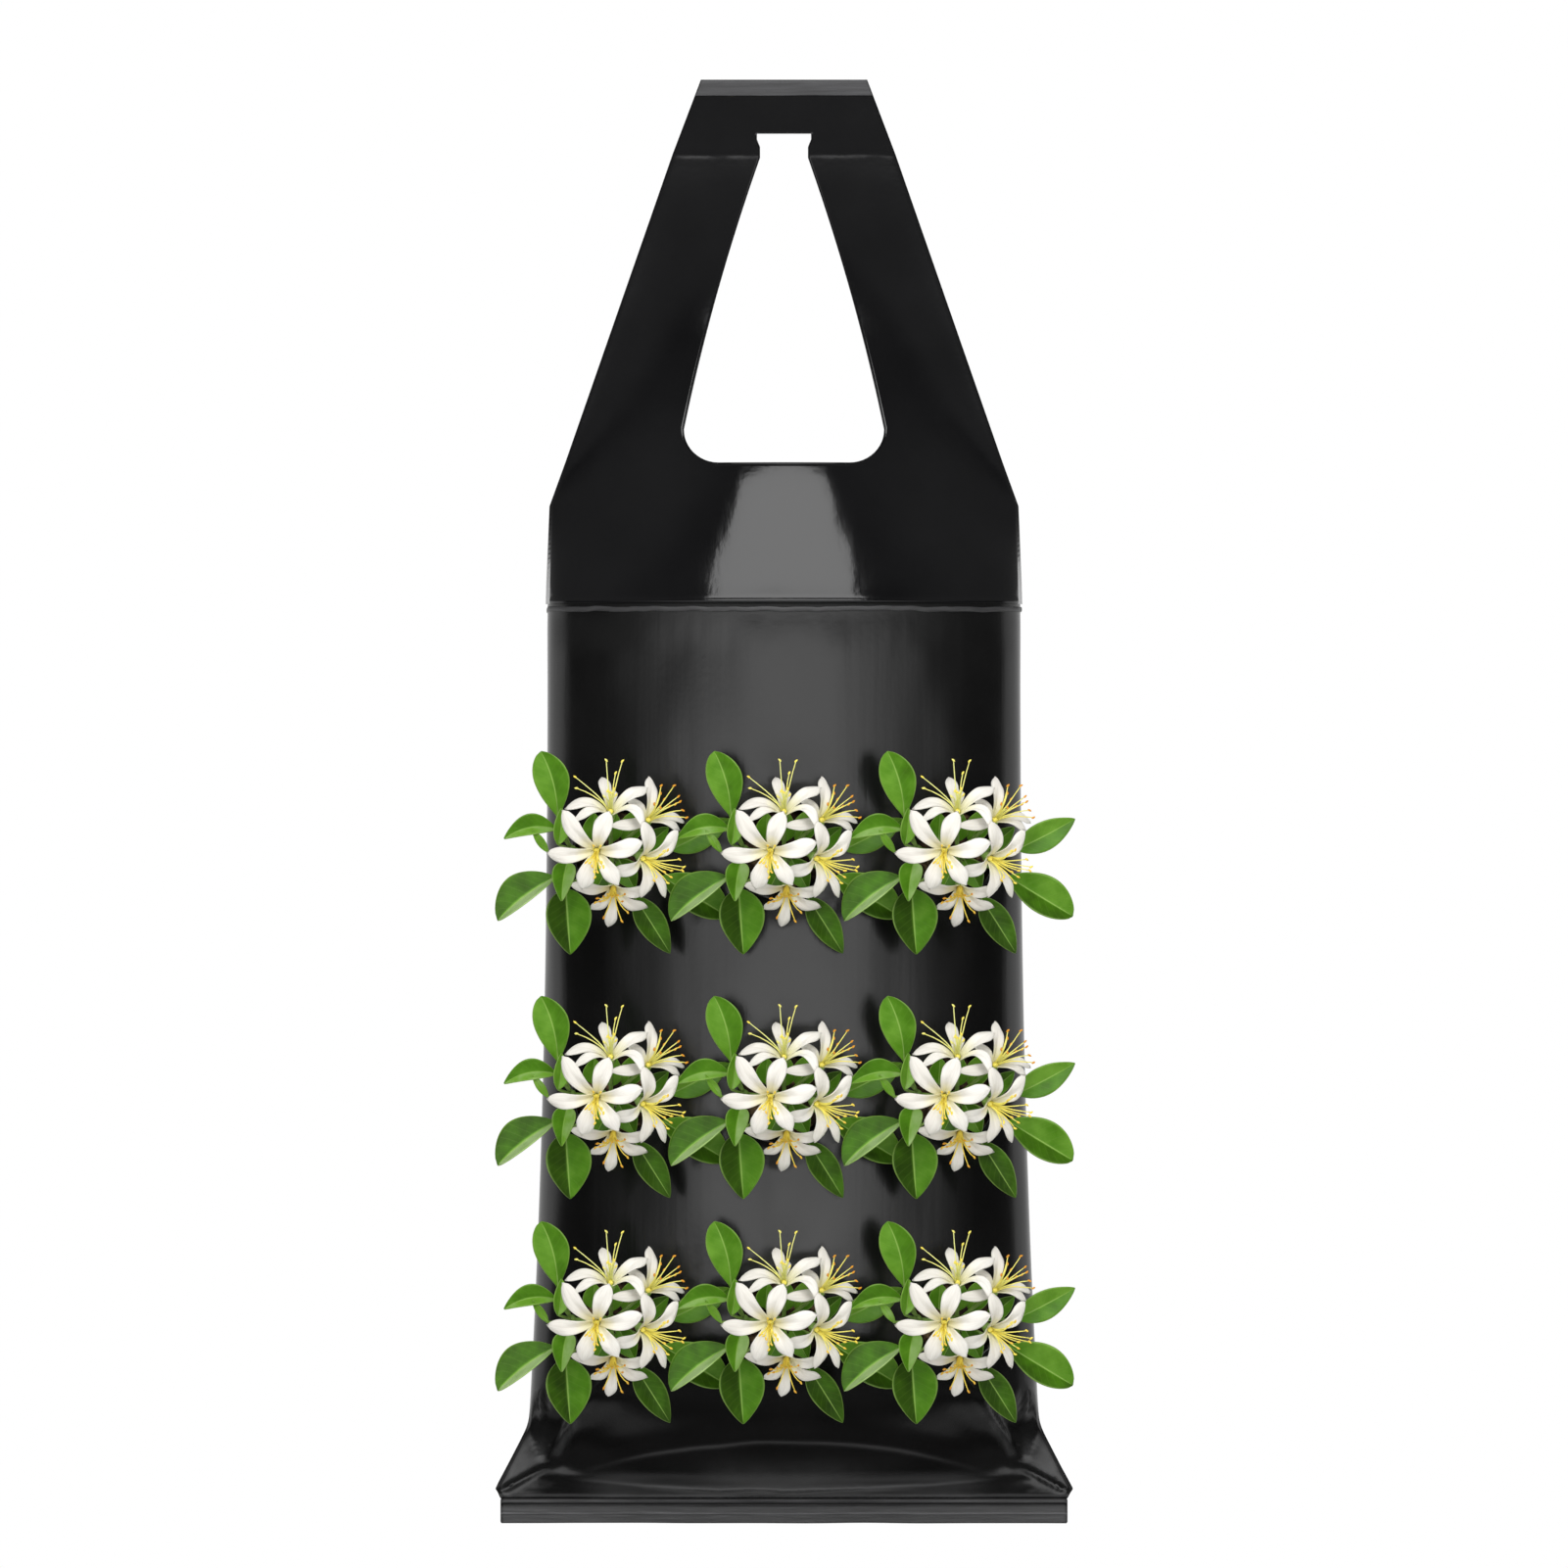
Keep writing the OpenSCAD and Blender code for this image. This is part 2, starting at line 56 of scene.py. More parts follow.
# The focal length that makes the frame's width fill the sensor at the camera's distance
def makeCamera():
    data = bpy.data.cameras.new("shotCamera")
    data.sensor_width = shot["sensor"]
    data.lens = shot["sensor"] * shot["distance"] / shot["frameWidth"]
    camera = bpy.data.objects.new("shotCamera", data)
    camera.location = (0, -shot["distance"] * mm, shot["middleHeight"] * mm)
    camera.rotation_euler = (math.radians(90), 0, 0)
    bpy.context.scene.collection.objects.link(camera)
    bpy.context.scene.camera = camera


makeCamera()
print("camera set")

# Random heights on a 64 x 64 lattice, for the noise below
noiseTable = np.random.default_rng(11).random((64, 64)) * 2 - 1


# Smooth noise from -1 to 1 in two directions: the lattice heights blended by cubic steps
def softNoise(a, b, shift=0):
    a, b = np.broadcast_arrays(np.asarray(a, float) + 13.7 * shift, np.asarray(b, float) + 5.3 * shift)
    i, j = np.floor(a).astype(int), np.floor(b).astype(int)
    s, t = a - i, b - j
    s, t = s * s * (3 - 2 * s), t * t * (3 - 2 * t)
    near = noiseTable[i % 64, j % 64] * (1 - s) + noiseTable[(i + 1) % 64, j % 64] * s
    far = noiseTable[i % 64, (j + 1) % 64] * (1 - s) + noiseTable[(i + 1) % 64, (j + 1) % 64] * s
    return near * (1 - t) + far * t


# 0 at start, 1 at end and smooth between them
def ease(value, start, end):
    t = np.clip((np.asarray(value, float) - start) / (end - start), 0, 1)
    return t * t * (3 - 2 * t)


# 1 on a line, falling away like a bell over the width
def ridge(distance, width):
    return np.exp(-(np.asarray(distance, float) / width) ** 2)


# Vectors divided by their lengths
def unit(vectors):
    vectors = np.asarray(vectors, float)
    return vectors / np.maximum(np.linalg.norm(vectors, axis=-1, keepdims=True), 1e-12)


# Distance from points (x, z) to the line between two places
def lineDistance(x, z, start, end):
    (ax, az), (bx, bz) = start, end
    t = np.clip(((x - ax) * (bx - ax) + (z - az) * (bz - az)) / ((bx - ax) ** 2 + (bz - az) ** 2), 0, 1)
    return np.hypot(x - ax - t * (bx - ax), z - az - t * (bz - az)), t


# Quads over a grid numbered row by row; a wrapped grid joins its last column to its first
def gridQuads(rowCount, columnCount, wrap=False, flip=False):
    r = np.arange(rowCount - 1)[:, None] * columnCount
    c = np.arange(columnCount if wrap else columnCount - 1)[None, :]
    following = (c + 1) % columnCount
    quads = np.stack([r + c, r + following, r + columnCount + following, r + columnCount + c], axis=-1)
    quads = quads.reshape(-1, 4)
    return quads[:, ::-1] if flip else quads


# Points and faces gathered from grids, with a UV pair and a tone for each point
class Gathered:
    def __init__(self):
        self.points, self.faces, self.uv, self.tone, self.count = [], [], [], [], 0

    def add(self, points, *faceSets, uv=None, tone=0.5):
        points = np.asarray(points, float).reshape(-1, 3)
        self.points.append(points)
        for faces in faceSets:
            self.faces.extend((np.asarray(faces) + self.count).tolist())
        self.uv.append(np.zeros((len(points), 2)) if uv is None else np.asarray(uv, float).reshape(-1, 2))
        self.tone.append(np.broadcast_to(np.asarray(tone, float).ravel(), (len(points),)))
        self.count += len(points)
        return self

    # The same shape carried to another place
    def movedBy(self, offset):
        moved = Gathered()
        moved.points = [p + np.asarray(offset, float) for p in self.points]
        moved.faces, moved.uv, moved.tone, moved.count = self.faces, self.uv, self.tone, self.count
        return moved


# Makes the mesh of a piece, leaves out points that no face uses, and lets the piece ride on its body
def makePiece(name, shape, material, body, replaces=(), thickness=0, blend=None, weld=False):
    points, uv, tone = (np.concatenate(part) for part in (shape.points, shape.uv, shape.tone))
    used = np.unique(np.concatenate([np.asarray(face) for face in shape.faces]))
    renumbered = np.full(len(points), -1)
    renumbered[used] = np.arange(len(used))
    points, uv, tone = points[used], uv[used], tone[used]
    mesh = bpy.data.meshes.new(name)
    mesh.from_pydata((points * mm).tolist(), [], [renumbered[face].tolist() for face in shape.faces])
    corner = np.empty(len(mesh.loops), np.int32)
    mesh.loops.foreach_get("vertex_index", corner)
    mesh.uv_layers.new(name="surface").data.foreach_set("uv", uv[corner].ravel())
    mesh.attributes.new("tone", "FLOAT", "POINT").data.foreach_set("value", tone)
    mesh.polygons.foreach_set("use_smooth", np.ones(len(mesh.polygons), bool))
    if weld:
        merged = bmesh.new()
        merged.from_mesh(mesh)
        bmesh.ops.remove_doubles(merged, verts=merged.verts, dist=1e-6)
        merged.to_mesh(mesh)
        merged.free()
    mesh.materials.append(material)
    piece = bpy.data.objects.new(name, mesh)
    bpy.context.scene.collection.objects.link(piece)
    if thickness:
        gauge = piece.modifiers.new("gauge", "SOLIDIFY")
        gauge.thickness, gauge.offset = thickness * mm, -1
    if blend:
        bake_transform(piece)
    else:
        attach(piece, body)
    if replaces:
        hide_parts(*replaces)
    return piece


# Tube along a path: rings of the given radii stand square to the path, and a point closes each end
def tube(shape, path, radii, sides=8, tone=0.5):
    path = np.asarray(path, float)
    radii = np.broadcast_to(np.asarray(radii, float), (len(path),))
    tangent = unit(np.gradient(path, axis=0))
    across = np.eye(3)[np.argmin(np.abs(tangent).mean(axis=0))]
    normal = unit(across - tangent * (tangent @ across)[:, None])
    binormal = np.cross(tangent, normal)
    turn = np.linspace(0, 2 * math.pi, sides, endpoint=False)[None, :, None]
    rings = path[:, None] + radii[:, None, None] * (np.cos(turn) * normal[:, None] + np.sin(turn) * binormal[:, None])
    count, around = len(path) * sides, np.arange(sides)
    after, last = (around + 1) % sides, (len(path) - 1) * sides
    firstCap = np.stack([np.full(sides, count), after, around], axis=1)
    lastCap = np.stack([np.full(sides, count + 1), last + around, last + after], axis=1)
    along = np.repeat(np.linspace(0, 1, len(path)), sides)
    uv = np.stack([np.tile(around / sides, len(path)), along], axis=1)
    shape.add(np.concatenate([rings.reshape(-1, 3), path[:1], path[-1:]]),
              gridQuads(len(path), sides, wrap=True), firstCap, lastCap,
              uv=np.concatenate([uv, [[0.5, 0], [0.5, 1]]]), tone=tone)


# Curve from start to end that leans towards a middle place: a quadratic Bezier curve
def bowed(start, middle, end, count=9):
    t = np.linspace(0, 1, count)[:, None]
    start, middle, end = (np.asarray(p, float) for p in (start, middle, end))
    return start * (1 - t) ** 2 + middle * 2 * t * (1 - t) + end * t ** 2


# sRGB hex colour as linear red, green, blue and alpha
def linear(text):
    shares = np.array([int(text[k:k + 2], 16) for k in (1, 3, 5)]) / 255
    shares = np.where(shares <= 0.04045, shares / 12.92, ((shares + 0.055) / 1.055) ** 2.4)
    return (*shares.tolist(), 1.0)


# Adds a node and gives back one of its outputs. A value that is another node's output is linked, and any other is set
# on the socket or the setting of its name. Hex colours are turned linear, and a ramp is pairs of place and colour.
def addNode(tree, kind, values, output=0):
    node = tree.nodes.new("ShaderNode" + kind)
    for key, value in values.items():
        if isinstance(value, bpy.types.NodeSocket):
            tree.links.new(value, node.inputs[key])
        elif key == "ramp":
            stops = node.color_ramp.elements
            for k, (place, colour) in enumerate(value):
                stop = stops[0] if k == 0 else stops[len(stops) - 1] if k == len(value) - 1 else stops.new(place)
                stop.position, stop.color = place, linear(colour) if isinstance(colour, str) else colour
        elif isinstance(key, int) or key in node.inputs:
            node.inputs[key].default_value = linear(value) if isinstance(value, str) else value
        else:
            setattr(node, key, value)
    return node.outputs[output] if len(node.outputs) else None


# An empty material and its node tree
def newFinish(name):
    finish = bpy.data.materials.new(name)
    finish.use_nodes = True
    finish.node_tree.nodes.clear()
    return finish, finish.node_tree


# Ends a finish with its shader
def finishWith(finish, kind, values):
    shader = addNode(finish.node_tree, kind, values)
    addNode(finish.node_tree, "OutputMaterial", {"Surface": shader})
    return finish


# Blown LDPE film, carbon black: a glossy skin with upright die lines about 5 mm apart and a faint 2 mm grain. The
# tone attribute greys it towards the sheen colour: painted sheen where the foot's flat zones, ridges and folds would
# catch light, and along the folds also a little real whitening of creased film.
def blownFilm(name, dark, light, sheenColour, roughLow, roughHigh, dieLines, grain, index):
    finish, tree = newFinish(name)
    place = addNode(tree, "TexCoord", {}, "Object")
    tone = addNode(tree, "Attribute", {"attribute_name": "tone"}, "Fac")
    stretched = addNode(tree, "Mapping", {"Scale": (200, 200, 7), "Vector": place})
    lines = addNode(tree, "TexNoise", {"Scale": 1, "Detail": 3, "Vector": stretched})
    fine = addNode(tree, "TexNoise", {"Scale": 500, "Detail": 2, "Vector": place})
    cloudy = addNode(tree, "TexNoise", {"Scale": 30, "Detail": 4, "Vector": place})
    clean = addNode(tree, "ValToRGB", {"ramp": [(0.35, dark), (0.7, light)], "Fac": cloudy})
    colour = addNode(tree, "Mix", {"data_type": "RGBA", 0: tone, 6: clean, 7: sheenColour}, 2)
    rough = addNode(tree, "MapRange", {"To Min": roughLow, "To Max": roughHigh, "Value": cloudy})
    relief = addNode(tree, "Bump", {"Strength": dieLines, "Distance": 0.0004, "Height": lines})
    relief = addNode(tree, "Bump", {"Strength": grain, "Distance": 0.0002, "Height": fine, "Normal": relief})
    return finishWith(finish, "BsdfPrincipled", {"IOR": index, "Base Color": colour, "Roughness": rough,
                                                 "Normal": relief})


# Heat-welded LDPE: pressed dull and grey by the hot bar, with streaks along the weld, about 17 mm long and 1 mm
# high. The tone attribute paints shade and highlight: towards the groove colour as painted shade in a groove, and
# towards the bar colour as a painted highlight on a bar.
def weldedFilm(name, groove, dark, light, bar):
    finish, tree = newFinish(name)
    place = addNode(tree, "TexCoord", {}, "Object")
    tone = addNode(tree, "Attribute", {"attribute_name": "tone"}, "Fac")
    stretched = addNode(tree, "Mapping", {"Scale": (60, 200, 900), "Vector": place})
    streaks = addNode(tree, "TexNoise", {"Scale": 1, "Detail": 4, "Vector": stretched})
    # Streaks plus the tone, which adds painted shade and painted highlight along the seal's profile
    pressed = addNode(tree, "Math", {"operation": "ADD", 0: streaks, 1: tone})
    shade = addNode(tree, "Math", {"operation": "MULTIPLY", 0: pressed, 1: 0.5})
    colour = addNode(tree, "ValToRGB", {"ramp": [(0.2, groove), (0.4, dark), (0.6, light), (0.8, bar)], "Fac": shade})
    relief = addNode(tree, "Bump", {"Strength": 0.5, "Distance": 0.0002, "Height": streaks})
    return finishWith(finish, "BsdfPrincipled", {"Roughness": 0.42, "IOR": 1.5, "Base Color": colour, "Normal": relief})


# Moist peat compost, matt: crumbs of the given size in millimetres, with paler fibres in the mottle
def pottingCompost(name, dark, middle, pale, crumb):
    finish, tree = newFinish(name)
    place = addNode(tree, "TexCoord", {}, "Object")
    crumbs = addNode(tree, "TexVoronoi", {"Scale": 1000 / crumb, "Vector": place}, "Distance")
    mottle = addNode(tree, "TexNoise", {"Scale": 260, "Detail": 6, "Vector": place})
    colour = addNode(tree, "ValToRGB", {"ramp": [(0.35, dark), (0.55, middle), (0.75, pale)], "Fac": mottle})
    relief = addNode(tree, "Bump", {"Strength": 0.9, "Distance": 0.0012, "Height": crumbs})
    relief = addNode(tree, "Bump", {"Strength": 0.8, "Distance": 0.0006, "Height": mottle, "Normal": relief})
    return finishWith(finish, "BsdfPrincipled", {"Roughness": 0.95, "Specular IOR Level": 0.2, "Base Color": colour,
                                                 "Normal": relief})


# Living leaf with a waxy skin: paler midrib and side veins 4 mm apart that slope forward, and a thin pale margin.
# Its UV runs along the blade in u and across it in v, and the tone attribute makes one leaf lighter than another. It
# also carries painted sheen, one half of a leaf lighter where it faces the light, and the palest green is a painted
# highlight.
def leafBlade(name, tones, vein):
    finish, tree = newFinish(name)
    place, surface = (addNode(tree, "TexCoord", {}, output) for output in ("Object", "UV"))
    along, across = (addNode(tree, "SeparateXYZ", {"Vector": surface}, axis) for axis in "XY")
    tone = addNode(tree, "Attribute", {"attribute_name": "tone"}, "Fac")
    centred = addNode(tree, "Math", {"operation": "SUBTRACT", 0: across, 1: 0.5})
    off = addNode(tree, "Math", {"operation": "ABSOLUTE", 0: centred})
    slope = addNode(tree, "Math", {"operation": "MULTIPLY_ADD", 0: off, 1: -0.42, 2: along})
    count = addNode(tree, "Math", {"operation": "MULTIPLY", 0: slope, 1: 9})
    saw = addNode(tree, "Math", {"operation": "PINGPONG", 0: count, 1: 0.5})
    sideVeins, midrib, margins = (
        addNode(tree, "MapRange", {"From Min": low, "From Max": high, "To Min": start, "To Max": end, "Value": away})
        for away, low, high, start, end in (
            (saw, 0, 0.09, 0.08, 0), (off, 0.008, 0.03, 0.75, 0), (off, 0.465, 0.49, 0, 0.5)))
    veins = addNode(tree, "Math", {"operation": "MAXIMUM", 0: sideVeins, 1: midrib})
    lines = addNode(tree, "Math", {"operation": "MAXIMUM", 0: veins, 1: margins})
    mottle = addNode(tree, "TexNoise", {"Scale": 140, "Detail": 5, "Vector": place})
    spread = addNode(tree, "Math", {"operation": "MULTIPLY_ADD", 0: mottle, 1: 0.5, 2: -0.25})
    shade = addNode(tree, "Math", {"operation": "ADD", "use_clamp": True, 0: spread, 1: tone})
    ramp = [(k / (len(tones) - 1), colour) for k, colour in enumerate(tones)]
    blade = addNode(tree, "ValToRGB", {"ramp": ramp, "Fac": shade})
    colour = addNode(tree, "Mix", {"data_type": "RGBA", 0: lines, 6: blade, 7: vein}, 2)
    relief = addNode(tree, "Bump", {"Strength": 0.6, "Distance": 0.0003, "invert": True, "Height": lines})
    relief = addNode(tree, "Bump", {"Strength": 0.3, "Distance": 0.0003, "Height": mottle, "Normal": relief})
    return finishWith(finish, "BsdfPrincipled", {"Roughness": 0.4, "IOR": 1.4, "Specular IOR Level": 0.35,
                                                 "Base Color": colour, "Normal": relief})


# Green stalk: fine ribs along its length, matt wax with a 3 mm mottle, darker or paler by the tone attribute
def greenStalk(name, dark, light):
    finish, tree = newFinish(name)
    place, surface = (addNode(tree, "TexCoord", {}, output) for output in ("Object", "UV"))
    tone = addNode(tree, "Attribute", {"attribute_name": "tone"}, "Fac")
    mottle = addNode(tree, "TexNoise", {"Scale": 300, "Detail": 4, "Vector": place})
    shade = addNode(tree, "Math", {"operation": "MULTIPLY", 0: mottle, 1: tone})
    doubled = addNode(tree, "Math", {"operation": "MULTIPLY", "use_clamp": True, 0: shade, 1: 2})
    colour = addNode(tree, "ValToRGB", {"ramp": [(0.1, dark), (0.9, light)], "Fac": doubled})
    ribs = addNode(tree, "TexWave", {"Scale": 2, "Distortion": 1, "Vector": surface}, "Fac")
    relief = addNode(tree, "Bump", {"Strength": 0.4, "Distance": 0.0002, "Height": ribs})
    return finishWith(finish, "BsdfPrincipled", {"Roughness": 0.5, "IOR": 1.45, "Base Color": colour, "Normal": relief})


# Fleshy flower petal, matt cream: veins 0.25 mm apart along its length, warmer and greener towards its base.
# Its UV runs along the petal in u and across it in v.
def flowerPetal(name, base, shade, light):
    finish, tree = newFinish(name)
    surface = addNode(tree, "TexCoord", {}, "UV")
    along = addNode(tree, "SeparateXYZ", {"Vector": surface}, "X")
    tone = addNode(tree, "Attribute", {"attribute_name": "tone"}, "Fac")
    stretched = addNode(tree, "Mapping", {"Scale": (2, 26, 1), "Vector": surface})
    veins = addNode(tree, "TexNoise", {"Scale": 1, "Detail": 4, "Distortion": 0.3, "Vector": stretched})
    mixed = addNode(tree, "Math", {"operation": "MULTIPLY_ADD", "use_clamp": True, 0: veins, 1: 0.7, 2: tone})
    cream = addNode(tree, "ValToRGB", {"ramp": [(0.35, shade), (0.9, light)], "Fac": mixed})
    fade = addNode(tree, "MapRange", {"From Min": 0.02, "From Max": 0.4, "To Min": 0.75, "To Max": 0, "Value": along})
    colour = addNode(tree, "Mix", {"data_type": "RGBA", 0: fade, 6: cream, 7: base}, 2)
    relief = addNode(tree, "Bump", {"Strength": 0.5, "Distance": 0.0003, "Height": veins})
    return finishWith(finish, "BsdfPrincipled", {"Roughness": 0.6, "IOR": 1.4, "Sheen Weight": 0.1,
                                                 "Base Color": colour, "Normal": relief})


# Pollen-yellow filament and anther: the tone attribute takes it from clear yellow to ochre, with a 0.3 mm grain
def pollenYellow(name, fresh, filament, anther):
    finish, tree = newFinish(name)
    place = addNode(tree, "TexCoord", {}, "Object")
    tone = addNode(tree, "Attribute", {"attribute_name": "tone"}, "Fac")
    grain = addNode(tree, "TexNoise", {"Scale": 3000, "Detail": 2, "Vector": place})
    shade = addNode(tree, "Math", {"operation": "MULTIPLY_ADD", "use_clamp": True, 0: grain, 1: 0.4, 2: tone})
    colour = addNode(tree, "ValToRGB", {"ramp": [(0.15, fresh), (0.45, filament), (1, anther)], "Fac": shade})
    relief = addNode(tree, "Bump", {"Strength": 0.5, "Distance": 0.0002, "Height": grain})
    return finishWith(finish, "BsdfPrincipled", {"Roughness": 0.55, "Base Color": colour, "Normal": relief})


# Every finish the object uses: the colours come first, then roughness, relief and IOR where they differ
finishes = {
    # The bag's #585859 is that painted sheen colour; the header and the rolls keep a tone of 0 and never show it
    "bag": blownFilm("blownFilmGlossy", "#0a0a0a", "#101010", "#585859", 0.18, 0.26, 0.22, 0.1, 1.5),
    "header": blownFilm("blownFilmSmooth", "#0d0d0e", "#111112", "#585859", 0.08, 0.12, 0.1, 0.06, 1.42),
    "roll": blownFilm("creasedFilm", "#0a0a0a", "#111111", "#585859", 0.45, 0.55, 0.1, 0.1, 1.42),
    # The weld's darkest and palest greys end the streaks' range; on the seal the tone pushes towards them as painted
    # shade and painted highlight
    "weld": weldedFilm("weldedFilm", "#101011", "#2e2e2f", "#3b3b3c", "#58585a"),
    "hem": weldedFilm("pressedHem", "#101011", "#2b2b2c", "#3c3c3e", "#58585a"),
    "compost": pottingCompost("peatCompost", "#120d09", "#2a1e15", "#54402c", 3),
    "plug": pottingCompost("rootPlug", "#17100b", "#33261a", "#7a6549", 2),
    # The leaf's palest green is a painted highlight
    "leaf": leafBlade("waxyLeaf", ["#152900", "#305005", "#4a7c0e", "#6d9c30", "#a6c085"], "#8fb255"),
    "stalk": greenStalk("greenStalk", "#4a6a1e", "#86a552"),
    "petal": flowerPetal("creamPetal", "#e8e3a4", "#ddd8ce", "#fdfbf5"),
    "pollen": pollenYellow("pollenYellow", "#e9ee9a", "#fdea5c", "#e39a22")}
print("finishes made")


# Normals of a grid of points: the cross product of its column and row directions
def gridNormals(points, wrap=False):
    across = np.roll(points, -1, axis=1) - np.roll(points, 1, axis=1) if wrap else np.gradient(points, axis=1)
    return unit(np.cross(across, np.gradient(points, axis=0)))


# The bag's skin, in millimetres, with zero at the hanging slot's top edge: heights, half widths, then the bulge's
# and the section's own numbers
bag = {"top": 21.0, "crease": -8.0, "shoulder": -144.5, "seam": -182.5, "mouth": -128.0, "foot": -459.5,
       "heel": -500.5, "ear": -525.7, "seal": -529.5, "topHalf": 32.25, "creaseHalf": 43.25, "shoulderHalf": 90.75,
       "bodyHalf": 91.75, "heelHalf": 99.0, "earHalf": 112.0, "sealHalf": 110.0, "depth": 43.5, "edge": 0.5,
       "film": 0.4, "bend": 1.5, "widening": 2.5, "opening": 2.4, "join": 0.7, "joinShare": 0.6189,
       "joinSlope": 0.5394, "seamSlope": 0.27, "flattening": 0.8, "legWing": 1.5, "wingTop": -105, "wingRise": 1.2,
       "earWing": 2, "wingFoot": 486}


# Half width at a height: straight sides in the header, slowly widening in the body, and round a small bend at the
# heel out to the ears: the ears' slope times the softened distance below the heel
def halfWidth(z):
    header = np.interp(z, [bag["seam"], bag["shoulder"], bag["crease"], bag["top"]],
                       [bag["bodyHalf"], bag["shoulderHalf"], bag["creaseHalf"], bag["topHalf"]])
    share = np.clip((bag["seam"] - z) / (bag["seam"] - bag["heel"]), 0, 1)
    body = bag["bodyHalf"] + (bag["heelHalf"] - bag["bodyHalf"]) * share ** bag["widening"]
    slope = (bag["earHalf"] - bag["heelHalf"]) / (bag["heel"] - bag["ear"])
    below = bag["bend"] * np.log1p(np.exp(np.clip((bag["heel"] - z) / bag["bend"], -30, 30)))
    tip = np.interp(z, [bag["seal"], bag["ear"]], [bag["sealHalf"], bag["earHalf"]])
    return np.where(z >= bag["seam"], header, np.where(z >= bag["ear"], body + slope * below, tip))


# Half depth of the bulge: a quarter sine from the crease, joined by a cubic with steady slopes up to the seam, then
# full in the body, and flattening towards the seal
def bulge(z):
    rise = np.clip((bag["crease"] - z) / (bag["crease"] - bag["seam"]), 0, 1)
    t = np.clip((rise - bag["join"]) / (1 - bag["join"]), 0, 1)
    cone = (bag["joinShare"] * (2 * t ** 3 - 3 * t ** 2 + 1) + bag["joinSlope"] * (t ** 3 - 2 * t ** 2 + t)
            + 3 * t ** 2 - 2 * t ** 3 + bag["seamSlope"] * (t ** 3 - t ** 2))
    header = np.where(rise < bag["join"], np.sin(math.pi / 2 * rise ** bag["opening"]), cone)
    fall = np.clip((bag["foot"] - z) / (bag["foot"] - bag["seal"]), 0, 1)
    return bag["depth"] * np.where(z >= bag["seam"], header, (1 - fall ** 2) ** bag["flattening"])


# Exponent of the section: 0.5 is an ellipse, and above 1 the edges flatten into wings
def wing(z):
    upper = 0.5 + bag["legWing"] * ease(z, bag["seam"], bag["wingTop"]) ** bag["wingRise"]
    lower = 0.5 + bag["earWing"] * ease(-z, bag["wingFoot"], -bag["seal"])
    return np.where(z >= bag["seam"], upper, lower)


# Distance of the skin from the middle plane: edge thickness plus bulge times (1 - (x / half width) squared) ^ wing
def skinY(x, z, out=0.0):
    x, z = np.asarray(x, float), np.asarray(z, float)
    share = np.maximum(0, 1 - (x / (halfWidth(z) + out)) ** 2)
    return bag["edge"] + out + bulge(z) * share ** wing(z)


# Columns and rows of the planting holes
holeX = (-66.5, 0.0, 66.5)
holeZ = (-278.5, -372.5, -459.0)
holes = [(x, z) for z in holeZ for x in holeX]


# x of equal steps along the face's section, for each height, and the length of a step
def sectionTable(z, columnCount):
    x = halfWidth(z)[:, None] * np.sin(np.linspace(-math.pi / 2, math.pi / 2, 401))[None]
    y = skinY(x, z[:, None])
    arc = np.concatenate([np.zeros((len(z), 1)), np.hypot(np.diff(x), np.diff(y)).cumsum(axis=1)], axis=1)
    table = np.stack([np.interp(np.linspace(0, a[-1], columnCount + 1), a, row) for a, row in zip(arc, x)])
    return table, arc[:, -1] / columnCount


# One face of the sleeve as a grid in x and z. Round each hole the grid is drawn onto a circle: a block of cells is
# left out, its square edge is carried to the circle at the same turn, and the cells round it follow less and less.
# A cut is x, height, radius, the block's half height in millimetres, its half width in columns and how many times
# the block's size the cells still follow.
def faceGrid(z, columnCount, cuts):
    table, stepLength = sectionTable(z, columnCount)
    rowIndex = np.arange(len(z), dtype=float)
    r, c = np.meshgrid(rowIndex, np.arange(columnCount + 1, dtype=float), indexing="ij")
    keep = np.ones((len(z) - 1, columnCount), bool)
    newR, newC = r.copy(), c.copy()
    for x, height, radius, blockHeight, blockColumns, spread in cuts:
        low, row, high = (int(round(float(np.interp(height + step, z, rowIndex))))
                          for step in (-blockHeight, 0, blockHeight))
        blockRows = np.where(r < row, row - low, high - row)
        trueColumn = float(np.interp(x, table[row], np.arange(columnCount + 1)))
        column = int(round(trueColumn))
        a, b = (c - column) / blockColumns, (r - row) / blockRows
        size = np.maximum(np.maximum(np.abs(a), np.abs(b)), 1e-9)
        a, b = a / size, b / size
        wide = np.abs(a) >= np.abs(b)
        sign = np.where(wide, a, b)
        turn = math.pi / 4 * np.where(wide, a * b, 2 - a * b)
        targetC = trueColumn + radius * sign * np.cos(turn) / stepLength[row]
        targetR = np.interp(height + radius * sign * np.sin(turn), z, rowIndex)
        follow = np.where(size >= 1 - 1e-6, 1 - ease(size, 1, spread), 0)
        newC += follow * (targetC - column - a * blockColumns)
        newR += follow * (targetR - row - b * blockRows)
        keep[low:high, column - blockColumns:column + blockColumns] = False
    i = np.clip(np.floor(newR).astype(int), 0, len(z) - 2)
    j = np.clip(np.floor(newC).astype(int), 0, columnCount - 1)
    s, t = newR - i, newC - j
    x = (table[i, j] * (1 - s) * (1 - t) + table[i + 1, j] * s * (1 - t)
         + table[i, j + 1] * (1 - s) * t + table[i + 1, j + 1] * s * t)
    return x, np.interp(newR, rowIndex, z), keep


